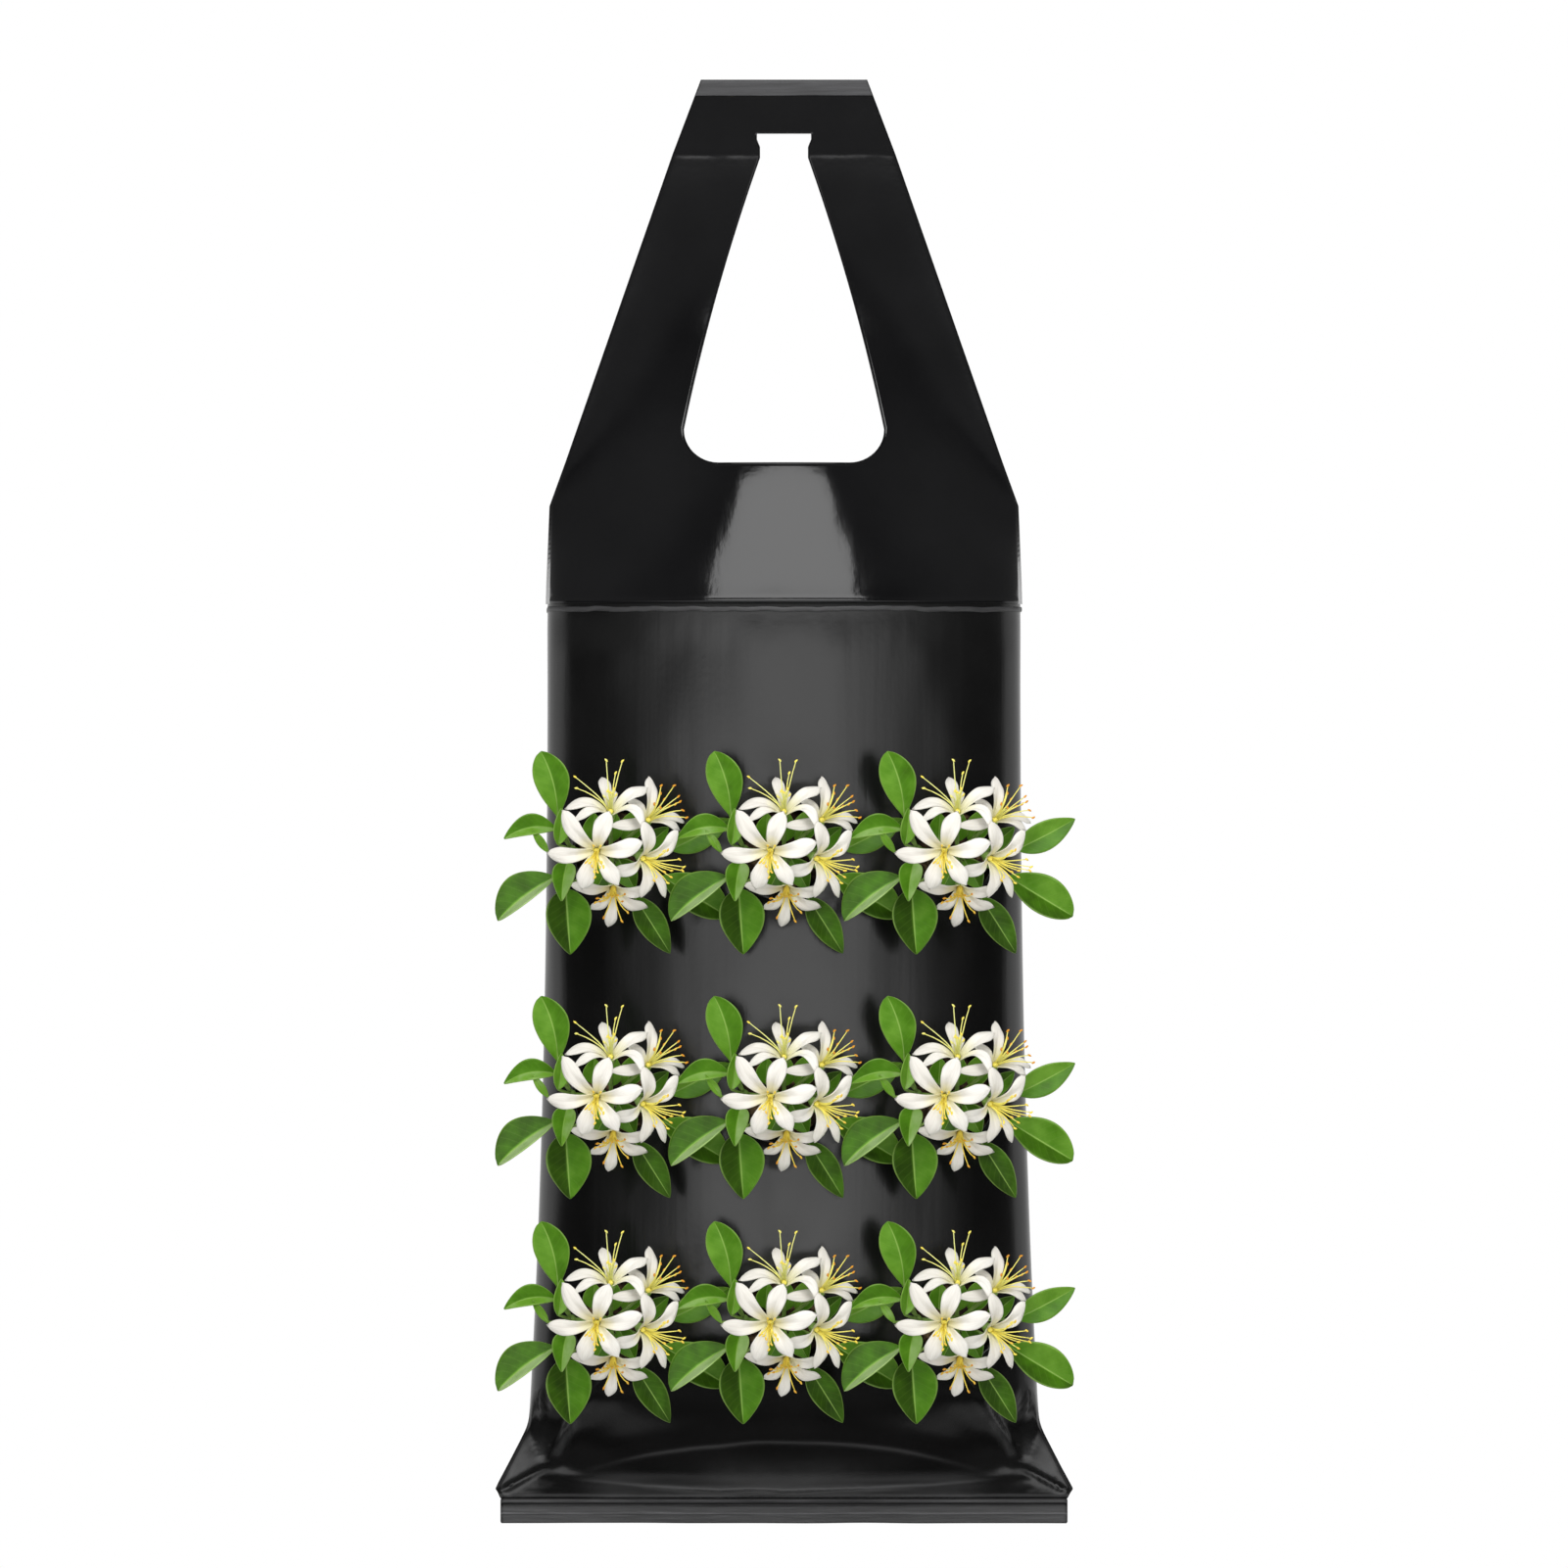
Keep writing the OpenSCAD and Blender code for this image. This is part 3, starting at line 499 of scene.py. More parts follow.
# A block is its half height in millimetres, its half width in columns and how many times its size the cells follow.
# A pair of numbers with Range in its name is the start and end of a soft step, over depth, distance from the middle
# or distance below the slot.
sleeve = {"topHeight": -174.5, "fineHeight": -468.0, "coarseRows": 134, "fineRows": 118, "frontColumns": 120,
          "backColumns": 80, "holeRadius": 17.0, "holeBlock": (15.33, 8, 1.75), "holeLip": 0.5, "lipWidth": 1.6,
          "dish": 0.5, "dishAway": 5, "dishWidth": 4, "drainHeight": -477.5, "drainSpacing": 44.3334,
          "drainRadius": 3.0, "drainBlock": (3.13, 2, 2.5), "sag": 0.8, "crumple": 0.22, "waver": 0.5,
          "roomDepthRange": (0.2, 9), "roomRange": (186, 204), "seamPucker": 0.12, "seamPuckerRange": (186, 192),
          "seamFadeRange": (192, 216), "sealPucker": 0.45, "sealPuckerRange": (514, 526),
          "sealFadeRange": (527.5, 529.4)}

# Slow swells and hollows of the body: middle, widths along x and z, and height
swells = [((0, -411), (14, 26), -1.5), ((33, -415), (17, 24), 0.9), ((-33, -415), (17, 24), 0.9)]
# Creases of the foot, given for the right half: two ends, height in millimetres (dents are negative) and width
creases = [((69, -478), (90.3, -515), 1.8, 2.2), ((79, -486), (93, -513), -0.9, 2.2),
           ((60, -488), (86, -515), -0.6, 3.5), ((94.5, -484), (91, -513), 0.9, 0.9),
           ((97.5, -498), (92, -512), 0.4, 0.8), ((92, -484), (92.6, -502), -0.5, 1.0),
           ((98.8, -501), (90.7, -515.6), -0.6, 1.1), ((88.7, -515.0), (112, -528), -0.55, 1.1)]
# Arcs across the foot: height at the middle, how far the ends drop, half width at which they end, rise, and width
# above and below the middle
arcs = [(-505.5, 13.0, 80, 0.46, 4.0, 1.3), (-499.5, 13.0, 84, -0.4, 5.0, 8.0), (-525.0, -6.0, 104, 0.5, 3.0, 1.1),
        (-527.9, 0.0, 106, 0.4, 0.7, 0.7)]


# How far the film stands out of the plain skin on a face: slow sag, swells, pressed arcs, creases and puckers
def sleeveRelief(x, z, side):
    room = ease(skinY(x, z) - bag["edge"], *sleeve["roomDepthRange"]) * ease(-z, *sleeve["roomRange"])
    relief = sleeve["sag"] * softNoise(x / 36, z / 60, side) + sleeve["crumple"] * softNoise(x / 11, z / 34, side + 3)
    for (middleX, middleZ), (wide, high), height in swells:
        relief += height * ridge(x - middleX, wide) * ridge(z - middleZ, high)
    relief *= room
    waver = sleeve["waver"] * softNoise(x / 14, 0.5, 4 + side)
    for middle, drop, end, height, above, below in arcs:
        near = z - middle + drop * (x / end) ** 2 + waver
        fade = (1 - ease(np.abs(x), end * 0.86, end)) * ease(skinY(x, z), 0.5, 2.5)
        relief += height * ridge(near, np.where(near < 0, below, above)) * fade
    for start, end, height, width in creases:
        for mirror in (-1, 1):
            near, share = lineDistance(mirror * x + 0.4 * softNoise(z / 9, 0.5, 3 + mirror), z, start, end)
            relief += height * ridge(near, width) * ease(share, 0, 0.4) * (1 - 0.6 * ease(share, 0.8, 1))
    seal = sleeve["sealPucker"] * ease(-z, *sleeve["sealPuckerRange"]) * (1 - ease(-z, *sleeve["sealFadeRange"]))
    seam = sleeve["seamPucker"] * ease(-z, *sleeve["seamPuckerRange"]) * (1 - ease(-z, *sleeve["seamFadeRange"]))
    return relief + (seal + seam) * np.abs(softNoise(x / 3.6, z / 30, 7 + side)) ** 0.8


# How much painted sheen the foot's film gets: lighter where its flat zones, ridges and folds would catch light, and
# along the folds also the real whitening of creased film. A line is its height at the middle, its drop towards the
# sides, strength, width and the distances from the middle between which it fades. The ears' painted sheen starts
# below a sloping line, given as height, slope and distance from the middle. The fold's pale line beside each ear is
# given for the right half.
paintedSheen = {"lowSheen": 0.24, "lowSheenRange": (518, 521.5), "lowSheenFade": (64, 84), "rib": 0.5, "ribHeight": -528.2,
          "ribWidth": 0.5, "lines": [(-525.6, -3.2, 0.4, 0.7, 66, 86), (-506.6, 11.5, 0.13, 1.0, 62, 84)],
          "lineHalf": 75, "ears": 0.17, "earRange": (503, 511), "earReach": (91, 94), "earLine": (-514, 0.58, 91.5),
          "fold": ((78.6, -496), (89.4, -514)), "foldTone": 0.3, "foldWidth": 1.3}


# Painted sheen of the film as its tone: the lighter zone above the seal, the first rib, the ears, the pale lines and
# the folds together
def sleeveSheen(x, z):
    far = np.abs(x)
    tone = paintedSheen["lowSheen"] * ease(-z, *paintedSheen["lowSheenRange"]) * (1 - ease(far, *paintedSheen["lowSheenFade"]))
    tone *= 1 + 0.3 * softNoise(x / 20, z / 1.5, 6)
    tone += paintedSheen["rib"] * ridge(z - paintedSheen["ribHeight"], paintedSheen["ribWidth"])
    for middle, drop, strength, width, start, end in paintedSheen["lines"]:
        near = z - middle + drop * (x / paintedSheen["lineHalf"]) ** 2 + 0.3 * softNoise(x / 14, 0.5, 4)
        tone += strength * ridge(near, width) * (1 - ease(far, start, end))
    height, slope, reach = paintedSheen["earLine"]
    ears = paintedSheen["ears"] * ease(-z, *paintedSheen["earRange"]) * ease(far, *paintedSheen["earReach"])
    tone += ears * ease(z - height + slope * (far - reach), -1, 1.5) * (1 + 0.5 * softNoise(x / 2.5, z / 2.5, 9))
    near, share = lineDistance(far + 0.3 * softNoise(z / 7, 0.5, 2), z, *paintedSheen["fold"])
    tone += paintedSheen["foldTone"] * ridge(near, paintedSheen["foldWidth"]) * ease(share, 0, 0.2) * (1 - ease(share, 0.85, 1))
    return np.clip(tone, 0, 1)


# The sleeve: a lofted tube of film, front face then back face, whose two edges meet at the sides. Its relief goes
# along the normals, and each planting hole has a raised lip with a shallow dish round it.
def makeSleeve():
    z = np.concatenate([np.linspace(bag["seal"], sleeve["fineHeight"], sleeve["fineRows"] + 1),
                        np.linspace(sleeve["fineHeight"], sleeve["topHeight"], sleeve["coarseRows"] + 1)[1:]])
    frontCuts = [(*hole, sleeve["holeRadius"], *sleeve["holeBlock"]) for hole in holes]
    backCuts = [(k * sleeve["drainSpacing"], sleeve["drainHeight"], sleeve["drainRadius"], *sleeve["drainBlock"])
                for k in (-1.5, -0.5, 0.5, 1.5)]
    frontX, frontZ, frontKeep = faceGrid(z, sleeve["frontColumns"], frontCuts)
    backX, backZ, backKeep = faceGrid(z, sleeve["backColumns"], backCuts)
    x = np.concatenate([frontX, backX[:, -2:0:-1]], axis=1)
    height = np.concatenate([frontZ, backZ[:, -2:0:-1]], axis=1)
    side = np.ones(x.shape)
    side[:, :sleeve["frontColumns"] + 1] = -1
    side[:, [0, sleeve["frontColumns"]]] = 0
    points = np.stack([x, side * skinY(x, height), height], axis=-1)
    relief = np.where(side < 0, sleeveRelief(x, height, 0), sleeveRelief(x, height, 1))
    for middleX, middleZ in holes:
        middle = [middleX, -float(skinY(middleX, middleZ)), middleZ]
        rim = np.linalg.norm(points - middle, axis=-1) - sleeve["holeRadius"]
        lip = sleeve["holeLip"] * ridge(rim, sleeve["lipWidth"])
        relief += np.where(side < 0, lip - sleeve["dish"] * ridge(rim - sleeve["dishAway"], sleeve["dishWidth"]), 0)
    points += gridNormals(points, wrap=True) * relief[..., None]
    keep = np.concatenate([frontKeep, backKeep[:, ::-1]], axis=1).ravel()
    # The sleeve's tone is the foot's painted sheen
    shape = Gathered().add(points, gridQuads(*x.shape, wrap=True)[keep], uv=np.stack([x * mm, height * mm], axis=-1),
                           tone=sleeveSheen(x, height))
    return makePiece("bodySleeve", shape, finishes["bag"], "bag", ["body_sleeve"], bag["film"])


# The die-cut opening: half widths at the slot, its throat and its widest, and heights below the slot's top edge
opening = {"slotHalf": 10.5, "throatHalf": 9.3, "lip": 2.2, "neck": 5.2, "throat": 12.8, "flare": 3.5, "widest": 39.0,
           "bow": 6.8, "cornerRadius": 13.7}


# Half width of the die-cut opening at a height: slot, neck, bowed sides, then a round corner down to the lip
def openingHalf(z):
    corner = bag["mouth"] + opening["cornerRadius"]
    t = np.clip((-opening["throat"] - z) / (-opening["throat"] - corner), 0, 1)
    half = opening["slotHalf"] + (opening["widest"] - opening["slotHalf"]) * t + opening["bow"] * t * (1 - t)
    drop = np.clip((corner - z) / opening["cornerRadius"], 0, 1)
    half = half - opening["cornerRadius"] * (1 - np.sqrt(np.maximum(0, 1 - drop ** 2)))
    neck = np.interp(z, [-opening["throat"], -opening["throat"] + opening["flare"], -opening["neck"], -opening["lip"]],
                     [opening["slotHalf"], opening["throatHalf"], opening["throatHalf"], opening["slotHalf"]])
    return np.where(z >= -opening["throat"], neck, half)


# The lists of heights run from the seam to the mouth's corner, over the crease's roll, and up the tab. A crease's
# puff is the slow swelling beside it.
header = {"topHeight": 20.3, "legColumns": 36, "middleColumns": 26, "cornerRows": 12, "legRows": 40,
          "legTop": -14.5, "lap": 0.7, "lapEnd": -174.5, "sag": 0.18, "crumple": 0.05, "creaseRidge": 0.036,
          "ridgeWidth": 1.2, "creasePuff": 0.1, "puffWidth": 8, "lipRidge": 0.4, "lipHeight": -181.5,
          "lipWidth": 0.8, "lipPucker": 0.05, "closing": 1.6, "gap": 0.01, "stiffRange": (6, 12),
          "lipRows": [-182.5, -182.3, -182.0, -181.6, -181.2, -180.8, -180.2, -179.4],
          "collarRows": (-178.4, -129.5, 27),
          "creaseRows": [-12.8, -11.6, -10.4, -9.7, *np.linspace(-9.3, -6.7, 11), -6.2, -5.7, -5.2, -4.4, -3.7,
                         -2.9, -2.2, -1.4, -0.6],
          "tabRows": [0, 0.5, 1.2, 2.2, 3.5, 5, 6.5, 8, 9.5, 11, 12.5, 14, 15.5, 17, 18.5]}


# Front or back header film: a grid in x and z from the seam up to the tab's top, with the opening's cells left out.
# It stands off the plain skin where it laps the sleeve, follows the crease's roll and its own lower lip, and closes
# on the other face along its outer edges.
def makeHeader(name, turn, nodes):
    corner = bag["mouth"] + opening["cornerRadius"]
    below = [*header["lipRows"], *np.linspace(*header["collarRows"])]
    drop = 1 - np.sin(np.linspace(math.pi / 2, 0, header["cornerRows"] + 1))[:-1]
    legs = [*(bag["mouth"] + opening["cornerRadius"] * drop), *np.linspace(corner, header["legTop"], header["legRows"]),
            *header["creaseRows"]]
    z = np.array([*below, *legs, *header["tabRows"], header["topHeight"]])
    inner = openingHalf(z)
    out = header["lap"] * np.clip((bag["mouth"] - z) / (bag["mouth"] - header["lapEnd"]), 0, 1)
    outer = halfWidth(z) + out
    leg = np.linspace(1, 0, header["legColumns"] + 1)[None]
    middle = np.linspace(-1, 1, header["middleColumns"] + 1)[None, 1:-1]
    left = -(inner[:, None] + (outer - inner)[:, None] * leg)
    x = np.concatenate([left, inner[:, None] * middle, -left[:, ::-1]], axis=1)
    height = np.broadcast_to(z[:, None], x.shape)
    skin = skinY(x, height, out[:, None])
    room = ease(skin, 0.5, 4) * (1 - ease(height, *header["stiffRange"]))
    relief = room * (header["sag"] * softNoise(x / 34, height / 50, 5 + turn)
                     + header["crumple"] * softNoise(x / 9, height / 16, 2 + turn))
    crease = height - bag["crease"] + 0.3 * softNoise(x / 7, 0, turn)
    relief += header["creasePuff"] * ridge(crease, header["puffWidth"])
    relief += header["creaseRidge"] * (1 + 0.5 * softNoise(x / 6, 0, 3)) * ridge(crease, header["ridgeWidth"])
    relief += header["lipRidge"] * ridge(height - header["lipHeight"], header["lipWidth"])
    relief += header["lipPucker"] * np.abs(softNoise(x / 4, height / 30, 4)) * ridge(height + 178, 7)
    closing = np.clip((np.abs(x) - outer[:, None] + header["closing"]) / header["closing"], 0, 1) ** 2
    relief -= closing * (bag["edge"] + out[:, None] - bag["film"] - header["gap"])
    side = -1 if turn == 0 else 1
    points = np.stack([-side * x, side * (skin + relief), height], axis=-1)
    keep = np.ones((len(z) - 1, x.shape[1] - 1), bool)
    keep[len(below):len(below) + len(legs), header["legColumns"]:header["legColumns"] + header["middleColumns"]] = False
    shape = Gathered().add(points, gridQuads(*x.shape)[keep.ravel()], uv=np.stack([x * mm, height * mm], axis=-1),
                           tone=0.0)
    return makePiece(name, shape, finishes["header"], None, nodes, bag["film"],
                     ("hanger_tab", "bag", (0, 0, -0.005), (0, 0, -0.011)))


roll = {"start": 9.5, "length": 33.6, "radius": 0.5, "uneven": 0.04, "drift": 0.12, "sides": 12, "steps": 41}


# The crease's roll on each side of the slot: a thin tube that wavers a little along the crease
def makeCreaseRolls():
    for name, side, node in (("creaseRollLeft", -1, "crease_fold_left"), ("creaseRollRight", 1, "crease_fold_right")):
        x = side * (roll["start"] + roll["length"] * np.linspace(0, 1, roll["steps"]))
        path = np.stack([x, roll["uneven"] * softNoise(x / 5, 1), bag["crease"] + roll["drift"] * softNoise(x / 5, 0)],
                        axis=-1)
        shape = Gathered()
        tube(shape, path, roll["radius"] + roll["uneven"] * softNoise(x / 2, 5), roll["sides"], 0.0)
        makePiece(name, shape, finishes["roll"], "hanger_tab", [node])


# A closed profile of depth and height carried along X, with the ends closed by strips from front to back. The profile
# runs down the front and up the back, each point's reach gives where the ends are at its height, and the wave shifts
# points in depth and height.
def makeStrip(name, front, back, reach, stations, wave, finish, node, body, tone=0.5):
    profile = np.concatenate([front, back[::-1]])
    count = len(profile)
    x = np.linspace(-1, 1, stations)[:, None] * reach(profile[:, 1])[None]
    shifts = wave(x, profile[:, 1][None])
    y, z = (np.broadcast_to(profile[:, k], x.shape) + shifts[k] for k in (0, 1))
    k = np.arange(len(front) - 1)
    left = np.stack([count - 1 - k, count - 2 - k, k + 1, k], axis=1)
    shape = Gathered().add(np.stack([x, y, z], axis=-1), gridQuads(stations, count, wrap=True),
                           left[:, ::-1] + (stations - 1) * count, left, tone=np.broadcast_to(tone, x.shape))
    return makePiece(name, shape, finish, body, [node])


hem = {"low": [14.7, 15, 16, 17.5, 19], "outer": 1.0, "inner": 0.62, "shoulder": 20.1, "crown": 0.9, "innerDrop": 0.1,
       "innerCrown": 0.6, "puff": 0.06, "ragged": 0.12, "raggedTop": 17, "stations": 81}


# The hem: a strip of film folded over the tab's top edge, whose profile is a U with a round top
def makeHem():
    turn = np.linspace(math.pi, 0, 15)
    low = np.array(hem["low"])

    # Up the front leg, over the round top and down the back leg
    def outline(half, shoulder, crown):
        over = np.stack([half * np.cos(turn), shoulder + crown * np.sin(turn)], axis=-1)
        leg = np.stack([np.full(len(low), half), low], axis=-1)
        return np.concatenate([leg * [-1, 1], over, leg[::-1]])

    def wave(x, z):
        ragged = hem["ragged"] * (z < hem["raggedTop"])
        return hem["puff"] * softNoise(x / 6, z / 3, 9), ragged * softNoise(x / 16, 0, 2)

    outside = outline(hem["outer"], hem["shoulder"], hem["crown"])
    inside = outline(hem["inner"], hem["shoulder"] - hem["innerDrop"], hem["innerCrown"])
    return makeStrip("topHem", outside[::-1], inside[::-1], halfWidth, hem["stations"], wave, finishes["hem"],
                     "top_hem", "hanger_tab")


# Places on the seal's profile are shares of its height from the top, and a shade is place, width and strength, below 0
# painted shade and above 0 a painted highlight
seal = {"top": -529.3, "height": 9.8, "half": 0.5, "rib": 0.173, "groove": 0.293, "bar": 0.612, "barWidth": 0.035,
        "rise": 0.55, "bend": 0.7, "ragged": 0.25, "stations": 161, "tone": 0.45, "bandTone": 0.15, "barTone": 0.5,
        "shades": [(0.03, 0.05, -0.7), (0.128, 0.04, 0.5), (0.244, 0.05, -0.75)]}


# The bottom seal: both films welded flat. Its profile has a narrow rib, a groove, then a broad raised band with a
# thin bar along its middle, and it waves slowly below.
def makeSeal():
    t = np.linspace(0, 1, 61)
    ends = np.sqrt(np.clip(np.minimum(t, 1 - t) / 0.03, 0.05, 1))
    band = ease(t, seal["groove"], seal["groove"] + 0.06) * (0.75 + 0.35 * ridge(t - seal["bar"], seal["barWidth"]))
    depth = ends * (seal["half"] + seal["rise"] * np.maximum(ridge(t - seal["rib"], 0.035), band))
    z = seal["top"] - seal["height"] * t

    # Share of the seal's height that lies above
    def down(z):
        return (seal["top"] - z) / seal["height"]

    def wave(x, z):
        return seal["bend"] * down(z) * softNoise(x / 40, 0, 6), seal["ragged"] * down(z) * softNoise(x / 22, 0, 8)

    # Half width, with rounded corners
    def reach(z):
        return bag["sealHalf"] - 0.5 * (1 - np.sqrt(np.clip(np.minimum(down(z), 1 - down(z)) / 0.08, 0, 1)))

    # Tone: painted shade along the top edge and in the groove, a painted highlight on the rib and on the bar, and the
    # broad band a little paler
    tone = seal["tone"] + sum(strength * ridge(t - place, width) for place, width, strength in seal["shades"])
    tone += seal["bandTone"] * ease(t, 0.32, 0.38) + seal["barTone"] * ridge(t - seal["bar"], seal["barWidth"])
    front, back = np.stack([-depth, z], axis=-1), np.stack([depth, z], axis=-1)
    return makeStrip("bottomSeal", front, back, reach, seal["stations"], wave, finishes["weld"], "bottom_seal", "bag",
                     np.concatenate([tone, tone[::-1]]))


bead = {"middle": -184.7, "halfHeight": 1.0, "out": 0.12, "inset": 0.2, "thickness": 0.65, "wave": 0.35, "ripple": 0.2,
        "uneven": 0.35, "sides": 12, "stations": 141}


# The weld bead under the header's lower edge: an oval profile carried all round the section, wavering up and down
def makeBead():
    turn = np.linspace(0, 2 * math.pi, bead["sides"], endpoint=False)[:, None]
    sideways = np.sin(np.linspace(-1, 1, bead["stations"])[None] * math.pi / 2)
    x = (halfWidth(np.array(bead["middle"])) - bead["inset"]) * np.concatenate([sideways, -sideways[:, 1:-1]], axis=1)
    side = np.ones(x.shape)
    side[:, :bead["stations"]] = -1
    side[:, [0, bead["stations"] - 1]] = 0
    wave = bead["wave"] * softNoise(x / 7, side * 2, 3) + bead["ripple"] * softNoise(x / 2.5, side * 2, 6)
    thick = bead["thickness"] * (1 + bead["uneven"] * softNoise(x / 3, side * 3, 1))
    z = bead["middle"] + wave + bead["halfHeight"] * np.sin(turn)
    out = bead["out"] + thick * (0.5 + 0.5 * np.cos(turn))
    points = np.stack(np.broadcast_arrays(x + np.where(side == 0, np.sign(x) * out, 0),
                                          side * (skinY(x, bead["middle"]) + out), z), axis=-1)
    around = points.shape[1]
    faces = gridQuads(around + 1, bead["sides"], wrap=True) % (bead["sides"] * around)
    shape = Gathered().add(np.swapaxes(points, 0, 1)[:, ::-1], faces)
    return makePiece("seamBead", shape, finishes["weld"], "bag", ["seam_bead"])


earth = {"top": -187.5, "bottom": -525.0, "side": 1.2, "gap": 3.0, "recess": 6.0, "recessRange": (17, 21),
         "crumble": 1.6, "pits": 0.35, "crumb": 3.1, "rows": 121, "levels": 120, "topRows": 22}


# The compost: rows run across the bag, columns up the front, over the crumbly top, down the back and under.
# Its sides stay inside the film and step back round each planting hole.
def makeCompost():
    count, over = earth["levels"], earth["topRows"]
    levels = np.linspace(earth["bottom"], earth["top"], count)
    across = np.linspace(-1, 1, over + 2)[1:-1]
    height = np.concatenate([levels, np.full(over, earth["top"]), levels[::-1], np.full(over, earth["bottom"])])[None]
    turn = np.concatenate([np.full(count, -1.0), across, np.full(count, 1.0), -across])[None]
    top = np.zeros(height.shape)
    top[:, count:count + over] = 1
    s = np.sin(np.linspace(-math.pi / 2, math.pi / 2, earth["rows"]))[:, None]
    x = s * (halfWidth(height) - earth["side"])
    depth = np.maximum(0, skinY(x, height) - bag["edge"] - earth["gap"]) * np.sqrt(np.clip(1 - s ** 2, 0, 1)) ** 0.2
    grain = softNoise(x / earth["crumb"], (turn * depth + height) / earth["crumb"], 2)
    recess = np.zeros(x.shape)
    for middleX, middleZ in holes:
        near = np.hypot(x - middleX, height - middleZ)
        recess = np.maximum(recess, earth["recess"] * (1 - ease(near, *earth["recessRange"])) * (turn < -0.99))
    y = turn * np.maximum(0, depth - recess - earth["pits"] * np.abs(grain))
    z = height + top * earth["crumble"] * grain * (1 - np.abs(turn)) ** 0.3 * (1 - s ** 2)
    shape = Gathered().add(np.stack([x, y, z], axis=-1), gridQuads(*x.shape, wrap=True, flip=True))
    return makePiece("compostFill", shape, finishes["compost"], "bag", ["compost"], weld=True)


plug = {"recess": 2.4, "radius": 15.9, "tipRadius": 12.0, "depth": 38.0, "crumble": 1.1, "raisedRim": 0.9,
        "uneven": 0.02, "sides": 44, "crumbs": (2.6, 1.2), "rings": (15, 12, 6, 5)}


# A root plug: a tapering cone of compost whose outer end is crumbly, in line with its hole
def makePlug(name, x, z, node):
    turn = math.atan(float(skinY(x - 1, z) - skinY(x + 1, z)) / 2)
    outer, side, tip, fading = plug["rings"]
    radius = np.array([*np.linspace(0, plug["radius"], outer),
                       *np.linspace(plug["radius"], plug["tipRadius"], side)[1:],
                       *np.linspace(plug["tipRadius"], 0, tip)[1:]])[:, None]
    depth = np.array([*np.zeros(outer), *np.linspace(0, plug["depth"], side)[1:],
                      *np.full(tip - 1, plug["depth"])])[:, None]
    face = np.array([*np.ones(outer), *np.linspace(1, 0, fading), *np.zeros(side + tip - 2 - fading)])[:, None]
    angle = np.linspace(0, 2 * math.pi, plug["sides"], endpoint=False)[None]
    px, pz = radius * np.cos(angle), radius * np.sin(angle)
    coarse, fine = plug["crumbs"]
    grain = softNoise(px / coarse, pz / coarse, int(abs(x + z)) % 17) + 0.5 * softNoise(px / fine, pz / fine, 3)
    raised = plug["crumble"] * np.abs(grain) + plug["raisedRim"] * (radius / plug["radius"]) ** 4
    py = plug["recess"] + depth + face * raised
    rounding = 1 - plug["uneven"] * np.abs(grain) * (radius > 0)
    px, pz = px * rounding, pz * rounding
    points = np.stack([px * math.cos(turn) - py * math.sin(turn) + x,
                       px * math.sin(turn) + py * math.cos(turn) - float(skinY(x, z)), pz + z], axis=-1)
    shape = Gathered().add(points, gridQuads(*points.shape[:2], wrap=True, flip=True))
    return makePiece(name, shape, finishes["plug"], "bag", [node], weld=True)
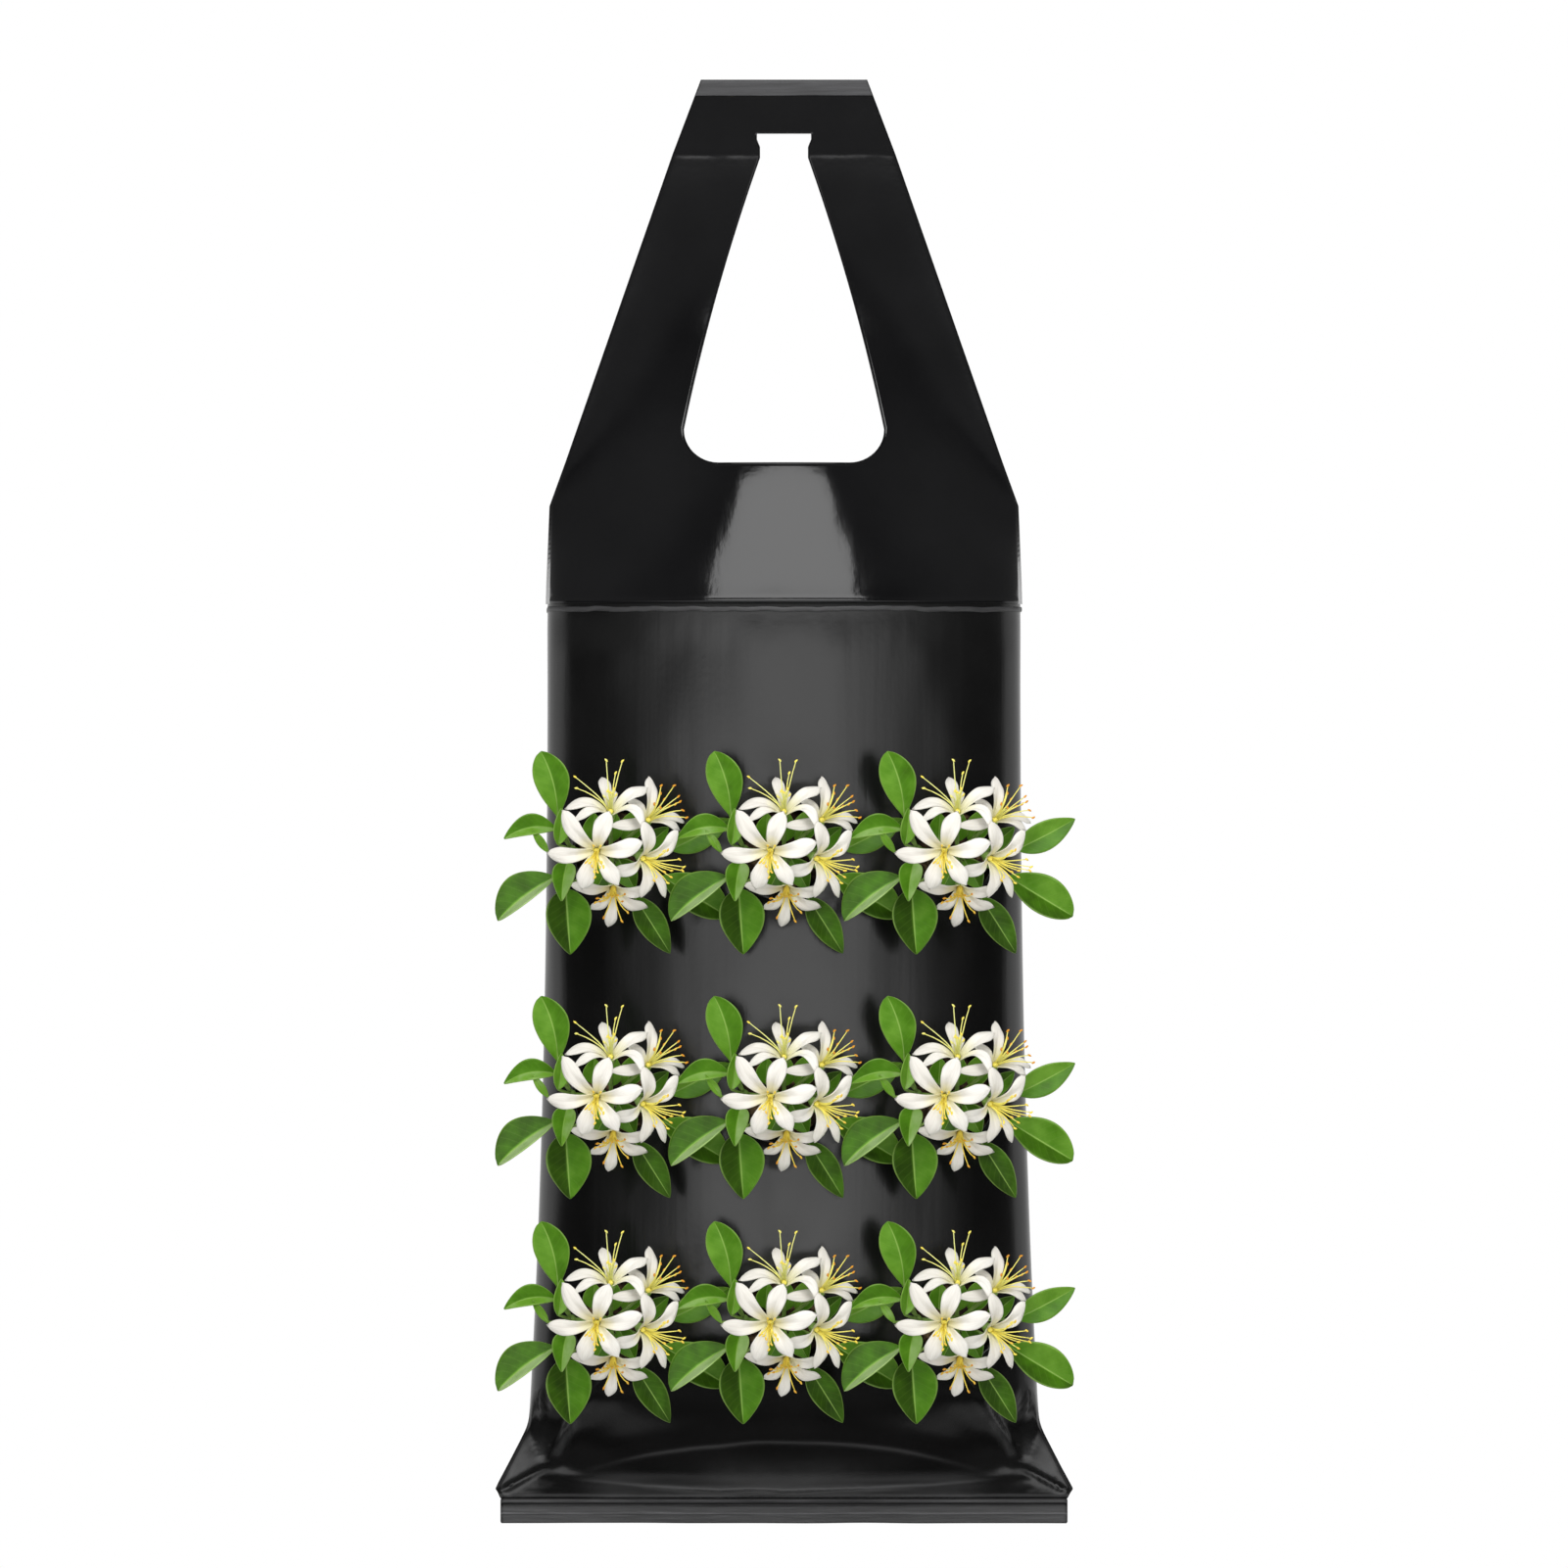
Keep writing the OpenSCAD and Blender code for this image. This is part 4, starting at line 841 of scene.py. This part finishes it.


# Every plant has the same head. Places are [right, towards the back, up] from the middle column's hole.
# A leaf is base, tip, width, sideways arch, fold, roll in degrees, fork, curl, where it is widest, how much wider one
# half shows, and the tones of its two halves: its own green, with painted sheen lightening the half that faces the
# light.
# A blossom is its centre, the way it faces, its petals, its stamens, and the tones of its filaments and its anthers.
# A petal is where its tip shows from the front, its width and its sideways arch. A stamen is where its tip shows.
plant = {
    "forks": [[0, -7, 0], [-15, -15, 1]],
    "leaves": [
        [[-20.4, -18, 13.7], [-27.1, -21, 38.5], 13.2, 1.7, 0.2, 12, 1, 1.5, 1.35, 0.05, 0.5, 0.6],
        [[-20.8, -20, 8.9], [-40.8, -23, 5.1], 7.4, 2.4, 0.2, 10, 1, 1.0, 0.9, 0.5, 0.48, 0.78],
        [[-24, -21, 0], [-30, -25, 8.5], 3, 0, 0.2, 0, 1, 0.3, 0.9, 0, 0.75, 0.7],
        [[-21.4, -18, -9.5], [-43.5, -22, -25.7], 13.2, 1.0, 0.2, -12, 1, 2.0, 1.1, 0.44, 0.34, 0.96],
        [[-16.6, -23, -4], [-18.4, -27, -18.5], 8, 0.6, 0.3, 20, 1, 1.0, 0.6, 0.33, 0.5, 0.84],
        [[-17.4, -11, -14], [-15.9, -14, -39.1], 16.8, 0, 0.2, -10, 0, 1.5, 0.8, -0.15, 0.2, 0.5],
        [[9.1, -8, -17.3], [22.9, -10, -38.6], 10.8, 0, 0.2, 14, 0, 1.5, 0.85, 0.05, 0.2, 0.3],
        [[23, -7, 1], [45.4, -7, 12.9], 10.8, 0.3, 0.2, 8, 0, 1.0, 0.85, 0.08, 0.5, 0.68],
        [[19.7, -6, -9.5], [44.6, -6, -24.8], 14, 0, 0.2, -8, 0, 1.0, 1.15, -0.3, 0.34, 0.6],
        [[-20, -25, 3], [-18.5, -27, 16.8], 6.3, 0.3, 0.3, -20, 1, 0.8, 0.85, 0, 0.72, 0.6],
        [[-7, -8, 5], [-6.5, -12, 14.5], 8, 0, 0.2, 0, 0, 1.0, 0.85, 0, 0.62, 0.5],
        [[5, -8, 4], [12, -12, 17], 9, 0, 0.2, 10, 0, 1.0, 0.85, 0, 0.5, 0.65],
        [[3, -9, -3], [9, -13, -14], 9, 0, 0.2, 0, 0, 0.8, 0.85, 0, 0.55, 0.4],
        [[12, -9, 1], [22, -11, 9.5], 7, 0, 0.2, 0, 0, 0.8, 0.85, 0, 0.45, 0.3],
        [[0, -9, 4], [1, -14, 15.5], 8, 0, 0.2, 0, 0, 0.8, 0.85, 0, 0.6, 0.5],
        [[0, -9, -3], [-6, -13, -15], 9, 0, 0.2, 0, 0, 0.8, 0.85, 0, 0.6, 0.4]],
    "blossoms": [
        [[-5, -41, 1], [-0.1, -1, -0.25],
         [[-13.2, 14.7, 6.8, 0.8], [4.4, 14.2, 7.2, 0.5], [17.2, 2.5, 7, -0.6], [-19.3, -1.9, 6.4, 0.4],
          [-5.8, -15.8, 7.2, -0.6], [7.9, -13.9, 6.8, 0.5]],
         [[-3.4, -4], [-2.7, -5], [-4.2, -4.8], [-1, -8.5], [-0.8, -10.5], [0.2, -8.4], [1.2, -6.6], [1.9, -4.7],
          [-1.8, -6.3], [0.3, -3], [1.5, 1.5], [-1.2, 1.6], [2.6, -6.5]], 0.22, 0.3],
        [[0, -30, 15], [0, -0.75, 0.65],
         [[-3.1, 15.3, 4.6, 0.3], [14.4, 11.4, 5.6, -0.6], [12.9, -3.7, 4.6, 3.4], [-17.2, 3.2, 5, -1.2],
          [-13.6, -1.3, 4.4, -0.8], [1.2, 10.5, 4, 0]],
         [[-1.6, 20.3], [4.6, 20], [-13.5, 13.9], [-13, 9.6], [-1.1, 8.6], [-0.2, 8.1], [0.6, 7.7], [2, 15.4],
          [1.4, 9.4], [-2.4, 6.4], [2.2, 7.0]], 0.0, 0.12],
        [[14, -21, 12], [0.5, -0.75, 0.45],
         [[1.7, 17.9, 5.2, 0.5], [13.3, -2.5, 4.6, 0.6], [15.4, 0.6, 3.6, 0.5], [-12.6, -0.9, 5, 2.0],
          [-6.5, 9.5, 5, 0.5]],
         [[5.2, 10.8], [10.4, 13.6], [12, 9.4], [10.9, 6.5], [13.7, 4.1], [15.2, 1.3], [6.6, 8.4], [2.8, 6.5],
          [5.2, 5.1], [5.4, 13.6], [8.5, 5.6], [12.6, 7.4]], 0.1, 0.85],
        [[12, -31, -2], [0.5, -0.8, -0.3],
         [[1.9, 13.5, 6, -0.6], [15, 9.9, 6.4, -0.8], [-10.4, -6, 5.4, 0.6], [1, -15.8, 5.8, 0.9],
          [9.9, -15.8, 3.6, 0.3]],
         [[16.2, -3.6], [15.7, -5], [11.2, -7.4], [10, -9.7], [14.5, -0.7], [10, 2.9], [8.6, 2.6], [7.2, 1.2],
          [4.8, -8.8], [5.7, -7.4], [11.4, -5], [8.6, -5.4]], 0.15, 0.3],
        [[1, -21, -13], [0, -0.75, -0.65],
         [[-16.4, -0.8, 5.8, -1.4], [-8.7, -10.2, 4.8, 0.3], [-1.9, -17, 4.8, 0.3], [12.8, -9.6, 5.8, -0.6],
          [14.6, -2.9, 5.4, 0.8]],
         [[-6.9, -6.3], [-3.6, -3.9], [-3.6, -12], [-0.2, -3.9], [1.7, -3.4], [3.6, -5.8], [5.5, -10], [-5, -5.8],
          [4.5, -3], [-2.1, -3], [3.3, -13.4], [-6, -4.6]], 0.35, 0.6]],
    "crownRadius": 2.1, "forkRadius": 2.1, "cupHeight": 3.4, "petalRise": 20, "petalBow": 0.17, "petalCurl": 2.2,
    "petalThickness": 0.45, "leafThickness": 0.4, "filamentRadius": 0.24, "antherLength": 1.7, "antherRadius": 0.46,
    "stemRadii": (1.7, 1.4), "shootRadii": (1.25, 1.0), "stalkRadii": (0.62, 0.5, 0.16), "branchRadii": (0.85, 0.7),
    "cupRadii": [0.6, 1.2, 1.7, 1.9, 2.0, 1.95, 2.0, 1.7], "quilts": 9, "leafSteps": (29, 17), "petalSteps": (19, 11),
    "leafEnds": (0.45, 0.05), "leafWave": 0.035, "leafQuilt": 0.006, "ribRows": 18, "ribDepth": 0.3,
    "petalOutline": (0.34, 0.66, 0.62), "petalChannel": 0.75, "petalRoll": 0.42, "petalGroove": (0.22, 0.16),
    "petalWaves": (0.4, 0.3), "pistilRadius": 1.15, "antherReach": (12.5, 0.35, 5.0), "filamentWobble": 0.25}


# A leaf blade. Its middle line runs from base to tip, bowed sideways and curling back towards the tip. Its half width
# is a sine of a power of the distance along it. The half that shows narrower is folded forward instead.
def addLeaf(shape, leaf, wobble):
    base, tip, width, arch, fold, roll, fork, curl, power, skew, leftTone, rightTone = leaf
    base, tip, fork = (np.asarray(place, float) for place in (base, tip, plant["forks"][fork]))
    along = unit(tip - base)
    level = unit(np.cross(along, [0, -1, 0]))
    side = level * math.cos(math.radians(roll)) + np.cross(level, along) * math.sin(math.radians(roll))
    up = np.cross(side, along)
    rows, columns = plant["leafSteps"]
    t = np.linspace(0, 1, rows)[:, None, None]
    s = np.linspace(-1, 1, columns)[None, :, None]
    half = width / 2 * np.sin(math.pi * t ** power) ** (0.8 if power < 1 else 0.62)
    half = np.maximum(half, np.where(t < 0.5, *plant["leafEnds"]))
    middle = base + (tip - base) * t + side * (4 * arch * t * (1 - t)) - up * (curl * t ** 2)
    size = np.abs(s)
    share = np.where(s > 0, 1 + skew, 1 - skew)
    forward = np.sqrt(np.clip(1.02 - share ** 2, 0, 1)) + fold * size ** 0.4
    wave = size ** 2 * softNoise(t * 4.5 + wobble, s * 0.8 + 3, 1) * np.sin(math.pi * t)
    quilt = size * (1 - size) * np.cos(2 * math.pi * plant["quilts"] * (t - 0.21 * size))
    relief = width * (plant["leafWave"] * wave + plant["leafQuilt"] * quilt)
    points = middle + side * (half * s * share) + up * (forward * half * size + relief)
    uv = np.stack(np.broadcast_arrays(t[..., 0], s[..., 0] * 0.5 + 0.5), axis=-1)
    # Each half's tone: the leaf's own green plus painted sheen on the half that faces the light
    tone = np.broadcast_to(np.where(s[..., 0] > 0.01, leftTone, rightTone), (rows, columns))
    shape.add(points, gridQuads(rows, columns), uv=uv, tone=tone)
    rib = middle[:plant["ribRows"], 0] - up * plant["ribDepth"]
    start = fork + unit(base - fork) * (plant["forkRadius"] - 0.6)
    return np.concatenate([bowed(start, (start + base) / 2 - [0, 1.5, 0], rib[0], 8)[:-1], rib])


# A solid blade from an open grid: the same grid again further back, with a rim between them
def thickened(points, thickness):
    back = points - gridNormals(points) * thickness
    rowCount, columnCount = points.shape[:2]
    count = rowCount * columnCount
    order = np.arange(count).reshape(rowCount, columnCount)
    rim = np.concatenate([order[0, :-1], order[:-1, -1], order[-1, :0:-1], order[:0:-1, 0]])
    following = np.roll(rim, -1)
    edge = np.stack([following, rim, rim + count, following + count], axis=1)
    return np.concatenate([points.reshape(-1, 3), back.reshape(-1, 3)]), edge, count


# A petal. Its spine leaves the throat and bows forward and sideways to the tip. Its half width grows from the claw
# to past the middle and rounds off to a blunt point. It is channelled near the claw and its edges roll back at the tip.
def addPetal(shape, centre, facing, target, wobble, tone):
    right, upward, width, arch = target
    lean = math.sin(math.radians(plant["petalRise"]))
    depth = -4.0
    for _ in range(12):
        length = math.sqrt(right ** 2 + upward ** 2 + depth ** 2)
        depth = (lean * length - right * facing[0] - upward * facing[2]) / facing[1]
    reach = np.array([right, np.clip(depth, -15, 15), upward])
    outward = unit(reach - facing * (reach @ facing))
    side = np.cross(facing, outward)
    rows, columns = plant["petalSteps"]
    t = np.linspace(0, 1, rows)[:, None, None]
    s = np.linspace(-1, 1, columns)[None, :, None]
    bow = plant["petalBow"] * np.linalg.norm(reach)
    spine = centre + outward + (reach - outward) * t + facing * (bow * 4 * t * (1 - t) - plant["petalCurl"] * t ** 3)
    spine = spine + side * (4 * arch * t * (1 - t))
    narrowest, fullAt, roundAt = plant["petalOutline"]
    claw = narrowest + (1 - narrowest) * ease(t, 0, fullAt)
    tipRound = np.clip(1 - (np.clip(t - roundAt, 0, 1) / (1 - roundAt)) ** 2.3, 0, 1) ** 0.6
    half = np.maximum(width / 2 * claw * tipRound, 0.08)
    size = np.abs(s)
    channel = plant["petalChannel"] * (1 - ease(t, 0.1, 0.75)) * size ** 1.3
    cup = half * (channel - plant["petalRoll"] * ease(t, 0.35, 0.9) * size ** 1.8)
    groove, grooveWidth = plant["petalGroove"]
    cup = cup - groove * ridge(s, grooveWidth) * ease(t, 0.05, 0.3) * (1 - ease(t, 0.75, 1))
    edgeWave, tipWave = plant["petalWaves"]
    wave = edgeWave * size * softNoise(t * 3.4 + wobble, s * 1.3, 2) + tipWave * softNoise(t * 2.2, wobble, 5) * t
    tangent = unit(np.gradient(spine, axis=0))
    normal = unit(np.cross(np.broadcast_to(side, tangent.shape), tangent))
    normal = normal * np.where((normal @ facing)[..., None] < 0, -1, 1)
    points = spine + side * (half * s) + normal * (cup + wave)
    uv = np.stack(np.broadcast_arrays(t[..., 0], s[..., 0] * 0.5 + 0.5), axis=-1)
    if (gridNormals(points) @ facing).mean() <= 0:
        points = points[:, ::-1]
    solid, edge, count = thickened(points, plant["petalThickness"])
    shape.add(solid, gridQuads(rows, columns), gridQuads(rows, columns, flip=True) + count, edge,
              uv=np.concatenate([uv.reshape(-1, 2)] * 2), tone=tone)


# A rounded body of revolution between two places: radii follow the given shares along the line
def addRound(shape, start, end, radii, sides=10, tone=0.5):
    start, end = np.asarray(start, float), np.asarray(end, float)
    t = np.linspace(0, 1, len(radii))[:, None]
    tube(shape, start + (end - start) * t, radii, sides, tone)


# Radii of a ball's slices from end to end, as shares of its radius
ball = np.sin(np.linspace(0.05, math.pi - 0.05, 9))


# Petals of a blossom, laid one after another so that each tone differs a little
def addCorolla(shape, blossom, number):
    centre, facing = np.asarray(blossom[0], float), unit(blossom[1])
    for k, target in enumerate(blossom[2]):
        addPetal(shape, centre, facing, target, 3.1 * k + 7.7 * number, 0.16 + 0.08 * (k % 3))


# Stamens of a blossom: filaments bow forward from the throat to where their anthers show from the front
def addStamens(shape, blossom):
    centre, facing = np.asarray(blossom[0], float), unit(blossom[1])
    addRound(shape, centre - facing * 0.2, centre + facing * 2.2, plant["pistilRadius"] * ball ** 0.6, 8, 0.2)
    furthest, loss, nearest = plant["antherReach"]
    for k, (right, upward) in enumerate(blossom[3]):
        flat = math.hypot(right, upward)
        ahead = max(nearest, furthest - loss * flat)
        depth = (ahead - right * facing[0] - upward * facing[2]) / facing[1]
        tip = centre + np.array([right, np.clip(depth, -14, -3), upward])
        root = centre + facing * 0.8 + 0.9 * unit(tip - centre - facing * (facing @ (tip - centre)))
        path = bowed(root, centre + facing * (0.55 * ahead + 2) + 0.15 * (tip - centre), tip, 7)
        steps = np.arange(5) * 0.7
        wobble = np.stack([softNoise(k * 3.3, steps, 1), 0 * steps, softNoise(k * 2.1, steps, 2)], axis=-1)
        path[1:-1] += plant["filamentWobble"] * wobble
        tube(shape, path, plant["filamentRadius"] * np.linspace(1.3, 0.8, 7), 5, blossom[4] + 0.06 * (k % 2))
        along = unit(unit(tip - path[-3]) + 0.9 * math.cos(2.4 * k) * unit(np.cross(facing, tip - centre)))
        half = along * plant["antherLength"] / 2
        addRound(shape, tip - half, tip + half, plant["antherRadius"] * ball[::2] ** 0.7, 6, blossom[5] + 0.1 * (k % 3))


# The green parts that carry a plant's head: crown, main stem, left shoot, stalks, cups and pistils
def addStems(shape, crown, stalks):
    forks = [np.asarray(fork, float) for fork in plant["forks"]]
    knot = plant["forkRadius"]
    addRound(shape, crown + [0, 1.9, 0], crown - [0, 1.9, 0], plant["crownRadius"] * ball ** 0.5, 12, 0.3)
    for start, end, sag, radii, sides, tone in (
            (crown, forks[0], [0, 0, 0.4], plant["stemRadii"], 12, 0.45),
            (forks[0], forks[1], [0, 1.0, -1.0], plant["shootRadii"], 10, 0.5)):
        tube(shape, bowed(start, (start + end) / 2 + sag, end, 9), np.linspace(*radii, 9), sides, tone)
    for fork in forks:
        addRound(shape, fork - [0, 0, knot * 0.9], fork + [0, 0, knot * 0.9], knot * 0.85 * ball ** 0.7, 10, 0.4)
    for blossom in plant["blossoms"]:
        centre, facing = np.asarray(blossom[0], float), unit(blossom[1])
        cup = centre - facing * plant["cupHeight"]
        middle = (forks[0] + cup) / 2 - facing * 1.2
        tube(shape, bowed(forks[0], middle, cup, 11), np.linspace(*plant["branchRadii"], 11), 8, 0.6)
        tube(shape, cup + facing * np.linspace(-0.3, 3.9, 8)[:, None], plant["cupRadii"], 10, 0.7)
    for path in stalks:
        tube(shape, path, np.interp(np.linspace(0, 1, len(path)), [0, 0.3, 1], plant["stalkRadii"]), 6, 0.65)


# Builds one head, then sets it before each of the nine holes
def makePlants():
    blades, corollas, stamens, stalks = Gathered(), Gathered(), Gathered(), []
    for k, leaf in enumerate(plant["leaves"]):
        stalks.append(addLeaf(blades, leaf, 2.3 * k))
    for k, blossom in enumerate(plant["blossoms"]):
        addCorolla(corollas, blossom, k)
        addStamens(stamens, blossom)
    for row, z in enumerate(holeZ, 1):
        for column, x in enumerate(holeX, 1):
            tag = "_%d_%d" % (row, column)
            body = node = "plant" + tag
            middleY, ownY = -float(skinY(0, z)), -float(skinY(x, z))
            place = [x, middleY, z]
            stems = Gathered()
            addStems(stems, np.array([0, ownY - middleY, 0]), stalks)
            makePiece("stems" + tag, stems.movedBy(place), finishes["stalk"], body, [node + "_stems"])
            makePiece("leaves" + tag, blades.movedBy(place), finishes["leaf"], body, [node + "_leaves"],
                      plant["leafThickness"])
            makePiece("petals" + tag, corollas.movedBy(place), finishes["petal"], body, [node + "_blossoms"])
            makePiece("stamens" + tag, stamens.movedBy(place), finishes["pollen"], body)
            makePlug("rootPlug" + tag, x, z, node + "_root_plug")


# Glows are radiances beside the white room's 1. The dome's stops are degrees from straight ahead and glow, and the
# cloth's are metres behind the bag's middle and glow. The dome's steps are smooth ones over height in metres.
studio = {"floorHeight": -0.75, "floorRadius": 3.4, "floorDark": "#dededc", "floorPale": "#e6e6e4",
          "floorFade": (1.3, 3.1), "roomGlow": 0.45, "domeRadius": 2.5, "domeHeight": -0.25, "domeTurn": 160,
          "domeRise": 85, "domeGlow": 0.03, "upperGlow": 0.16, "clothEnd": 0.5, "clothReach": 2.7, "clothLift": 0.01,
          "domeStops": [(0, 2.3), (8, 2.3), (18, 1.8), (23, 1.45), (27, 1.05), (34, 0.6), (41, 0.32), (51, 0.09),
                        (60, 0.0), (92, 0.0), (102, 0.8), (160, 0.8)],
          "clothStops": [(-2.4, 0.04), (-0.8, 0.05), (-0.3, 0.12), (-0.22, 0.1), (-0.1, 0.04), (-0.03, 0.05),
                         (-0.005, 0.35), (0.03, 0.3), (0.06, 0.3), (0.08, 0.8), (0.17, 0.8), (0.24, 0.1), (0.5, 0.1)],
          "underHandle": (-0.1, 0.02), "overFloor": (-1.9, -1.0), "besideLamp": (0.355, 0.686),
          "lampTurn": (22, 60), "upperStart": (-0.1, 0.05)}


# A stage piece from a grid's x, y and z in metres. A flag is seen only in reflections.
def makeStage(name, axes, finish, wrap=False, flag=True):
    points = np.stack(np.broadcast_arrays(*axes), axis=-1)
    mesh = bpy.data.meshes.new(name)
    mesh.from_pydata(points.reshape(-1, 3).tolist(), [], gridQuads(*points.shape[:2], wrap=wrap).tolist())
    mesh.materials.append(finish)
    piece = bpy.data.objects.new(name, mesh)
    bpy.context.scene.collection.objects.link(piece)
    if flag:
        piece.visible_camera = piece.visible_diffuse = piece.visible_shadow = piece.visible_transmission = False


# Pale painted floor: a disc that turns to plain white towards its rim and keeps the bag's shadow
def makeFloor():
    finish, tree = newFinish("paintedFloor")
    place = addNode(tree, "TexCoord", {}, "Object")
    mottle = addNode(tree, "TexNoise", {"Scale": 12, "Detail": 4, "Vector": place})
    paint = addNode(tree, "ValToRGB", {"ramp": [(0.3, studio["floorDark"]), (0.7, studio["floorPale"])], "Fac": mottle})
    matt = addNode(tree, "BsdfPrincipled", {"Roughness": 0.8, "Base Color": paint})
    glow = addNode(tree, "Emission", {"Strength": 1})
    away = addNode(tree, "VectorMath", {"operation": "LENGTH", 0: place}, "Value")
    near, far = studio["floorFade"]
    fade = addNode(tree, "MapRange", {"interpolation_type": "SMOOTHSTEP", "From Min": near, "From Max": far,
                                      "Value": away})
    finishWith(finish, "MixShader", {0: fade, 1: matt, 2: glow})
    radii = np.linspace(0, studio["floorRadius"], 24)[:, None]
    angle = np.linspace(0, 2 * math.pi, 96, endpoint=False)[None]
    makeStage("floor", (radii * np.sin(angle), radii * np.cos(angle), studio["floorHeight"]), finish, True, False)


# A grey ramp along a measure, from pairs of place and glow, divided by the brightest glow so that it stays within 1
def addFall(tree, measure, pairs):
    first, last, brightest = pairs[0][0], pairs[-1][0], max(glow for _, glow in pairs)
    share = addNode(tree, "MapRange", {"From Min": first, "From Max": last, "Value": measure})
    stops = [((place - first) / (last - first), (glow / brightest,) * 3 + (1,)) for place, glow in pairs]
    return addNode(tree, "ValToRGB", {"ramp": stops, "Fac": share}), brightest


# The studio as the glossy film reflects it: a dome round the front with a wide glow that fades towards the sides
# below the handle's height, a dim glow above it that goes dark beside the key lamp, and a strip of light far round
def makeDome():
    finish, tree = newFinish("studioWall")
    place = addNode(tree, "TexCoord", {}, "Object")
    x, y, height = (addNode(tree, "SeparateXYZ", {"Vector": place}, axis) for axis in "XYZ")
    ahead = addNode(tree, "Math", {"operation": "MULTIPLY", 0: y, 1: -1})
    turn = addNode(tree, "Math", {"operation": "ARCTAN2", 0: x, 1: ahead})
    away = addNode(tree, "Math", {"operation": "ABSOLUTE", 0: turn})
    fall, brightest = addFall(tree, away, [(math.radians(place), glow) for place, glow in studio["domeStops"]])
    under, over, beside, near, upper = (
        addNode(tree, "MapRange", {"interpolation_type": "SMOOTHSTEP", "From Min": low, "From Max": high,
                                   "To Min": start, "To Max": end, "Value": measure})
        for measure, (low, high), start, end in (
            (height, studio["underHandle"], 1, 0), (height, studio["overFloor"], 0, brightest),
            (height, studio["besideLamp"], 0, 1), (away, np.radians(studio["lampTurn"]).tolist(), 1, 0),
            (height, studio["upperStart"], 0, studio["upperGlow"])))
    band = addNode(tree, "Math", {"operation": "MULTIPLY", 0: under, 1: over})
    front = addNode(tree, "Math", {"operation": "MULTIPLY", 0: fall, 1: band})
    dark = addNode(tree, "Math", {"operation": "MULTIPLY", 0: beside, 1: near})
    clear = addNode(tree, "Math", {"operation": "SUBTRACT", 0: 1, 1: dark})
    above = addNode(tree, "Math", {"operation": "MULTIPLY", 0: upper, 1: clear})
    total = addNode(tree, "Math", {"operation": "ADD", 0: front, 1: above})
    strength = addNode(tree, "Math", {"operation": "ADD", 0: total, 1: studio["domeGlow"]})
    azimuth = np.radians(np.linspace(-studio["domeTurn"], studio["domeTurn"], 61))[None]
    rise = np.radians(np.linspace(-studio["domeRise"], studio["domeRise"], 35))[:, None]
    flat = studio["domeRadius"] * np.cos(rise)
    makeStage("studioDome", (flat * np.sin(azimuth), -flat * np.cos(azimuth),
                             studio["domeHeight"] + studio["domeRadius"] * np.sin(rise)),
              finishWith(finish, "Emission", {"Strength": strength}))


# A dark cloth just above the floor, seen only in the film, with paler bands under the bag
def makeCloth():
    finish, tree = newFinish("studioCloth")
    place = addNode(tree, "TexCoord", {}, "Object")
    y = addNode(tree, "SeparateXYZ", {"Vector": place}, "Y")
    fall, brightest = addFall(tree, y, studio["clothStops"])
    azimuth = np.radians(np.linspace(-90, 90, 41))[None]
    reach = np.linspace(0, studio["clothReach"], 17)[:, None]
    makeStage("floorCloth", (reach * np.sin(azimuth), studio["clothEnd"] - reach * np.cos(azimuth),
                             studio["floorHeight"] + studio["clothLift"]),
              finishWith(finish, "Emission", {"Strength": brightest, "Color": fall}))


# The lamps: where each aims, azimuth and elevation, distance, width, height, glow, and if the film shows them
lamps = {"keySoft": ((0, -0.04, -0.155), 0, 38.5, 1.6, 1.0, 0.8, 4.2, True),
         "fillSoft": ((0, -0.1, -0.37), 0, 15, 1.7, 1.6, 1.2, 1.8, False)}


# Soft box: a flat lamp that faces its aim from an azimuth and an elevation. Its power is four times area x glow.
def makeLamp(name, aim, azimuth, elevation, distance, width, height, glow, mirrored):
    data = bpy.data.lights.new(name, "AREA")
    data.shape, data.size, data.size_y = "RECTANGLE", width, height
    data.energy = 4 * width * height * glow
    lamp = bpy.data.objects.new(name, data)
    a, e = math.radians(azimuth), math.radians(elevation)
    away = Vector((math.sin(a) * math.cos(e), -math.cos(a) * math.cos(e), math.sin(e)))
    lamp.location = Vector(aim) + away * distance
    lamp.rotation_euler = away.to_track_quat("Z", "Y").to_euler()
    lamp.visible_camera = False
    lamp.visible_glossy = mirrored
    bpy.context.scene.collection.objects.link(lamp)


# Room: plain white to the camera and to gloss and glass, and a grey glow that fills the shadows
def makeRoom():
    world = bpy.data.worlds.new("studioRoom")
    bpy.context.scene.world = world
    world.use_nodes = True
    tree = world.node_tree
    tree.nodes.clear()
    direct, mirrored, passed = (addNode(tree, "LightPath", {}, "Is %s Ray" % ray)
                                for ray in ("Camera", "Glossy", "Transmission"))
    first = addNode(tree, "Math", {"operation": "MAXIMUM", 0: direct, 1: mirrored})
    seen = addNode(tree, "Math", {"operation": "MAXIMUM", 0: first, 1: passed})
    strength = addNode(tree, "MapRange", {"To Min": studio["roomGlow"], "To Max": 1, "Value": seen})
    glow = addNode(tree, "Background", {"Color": (1, 1, 1, 1), "Strength": strength})
    addNode(tree, "OutputWorld", {"Surface": glow})


sleevePiece = makeSleeve()
print("sleeve made")
headerFront = makeHeader("headerFront", 0, ["tab_front_film", "handle_front_film"])
headerBack = makeHeader("headerBack", 1, ["tab_back_film", "handle_back_film"])
makeCreaseRolls()
makeHem()
makeBead()
makeSeal()
print("header, hem, bead and seal made")
makeCompost()
makePlants()
print("compost, plugs and plants made")
makeRoom()
makeFloor()
makeDome()
makeCloth()
for lampName, values in lamps.items():
    makeLamp(lampName, *values)
bpy.context.scene.view_settings.view_transform = "Standard"
print("studio made")
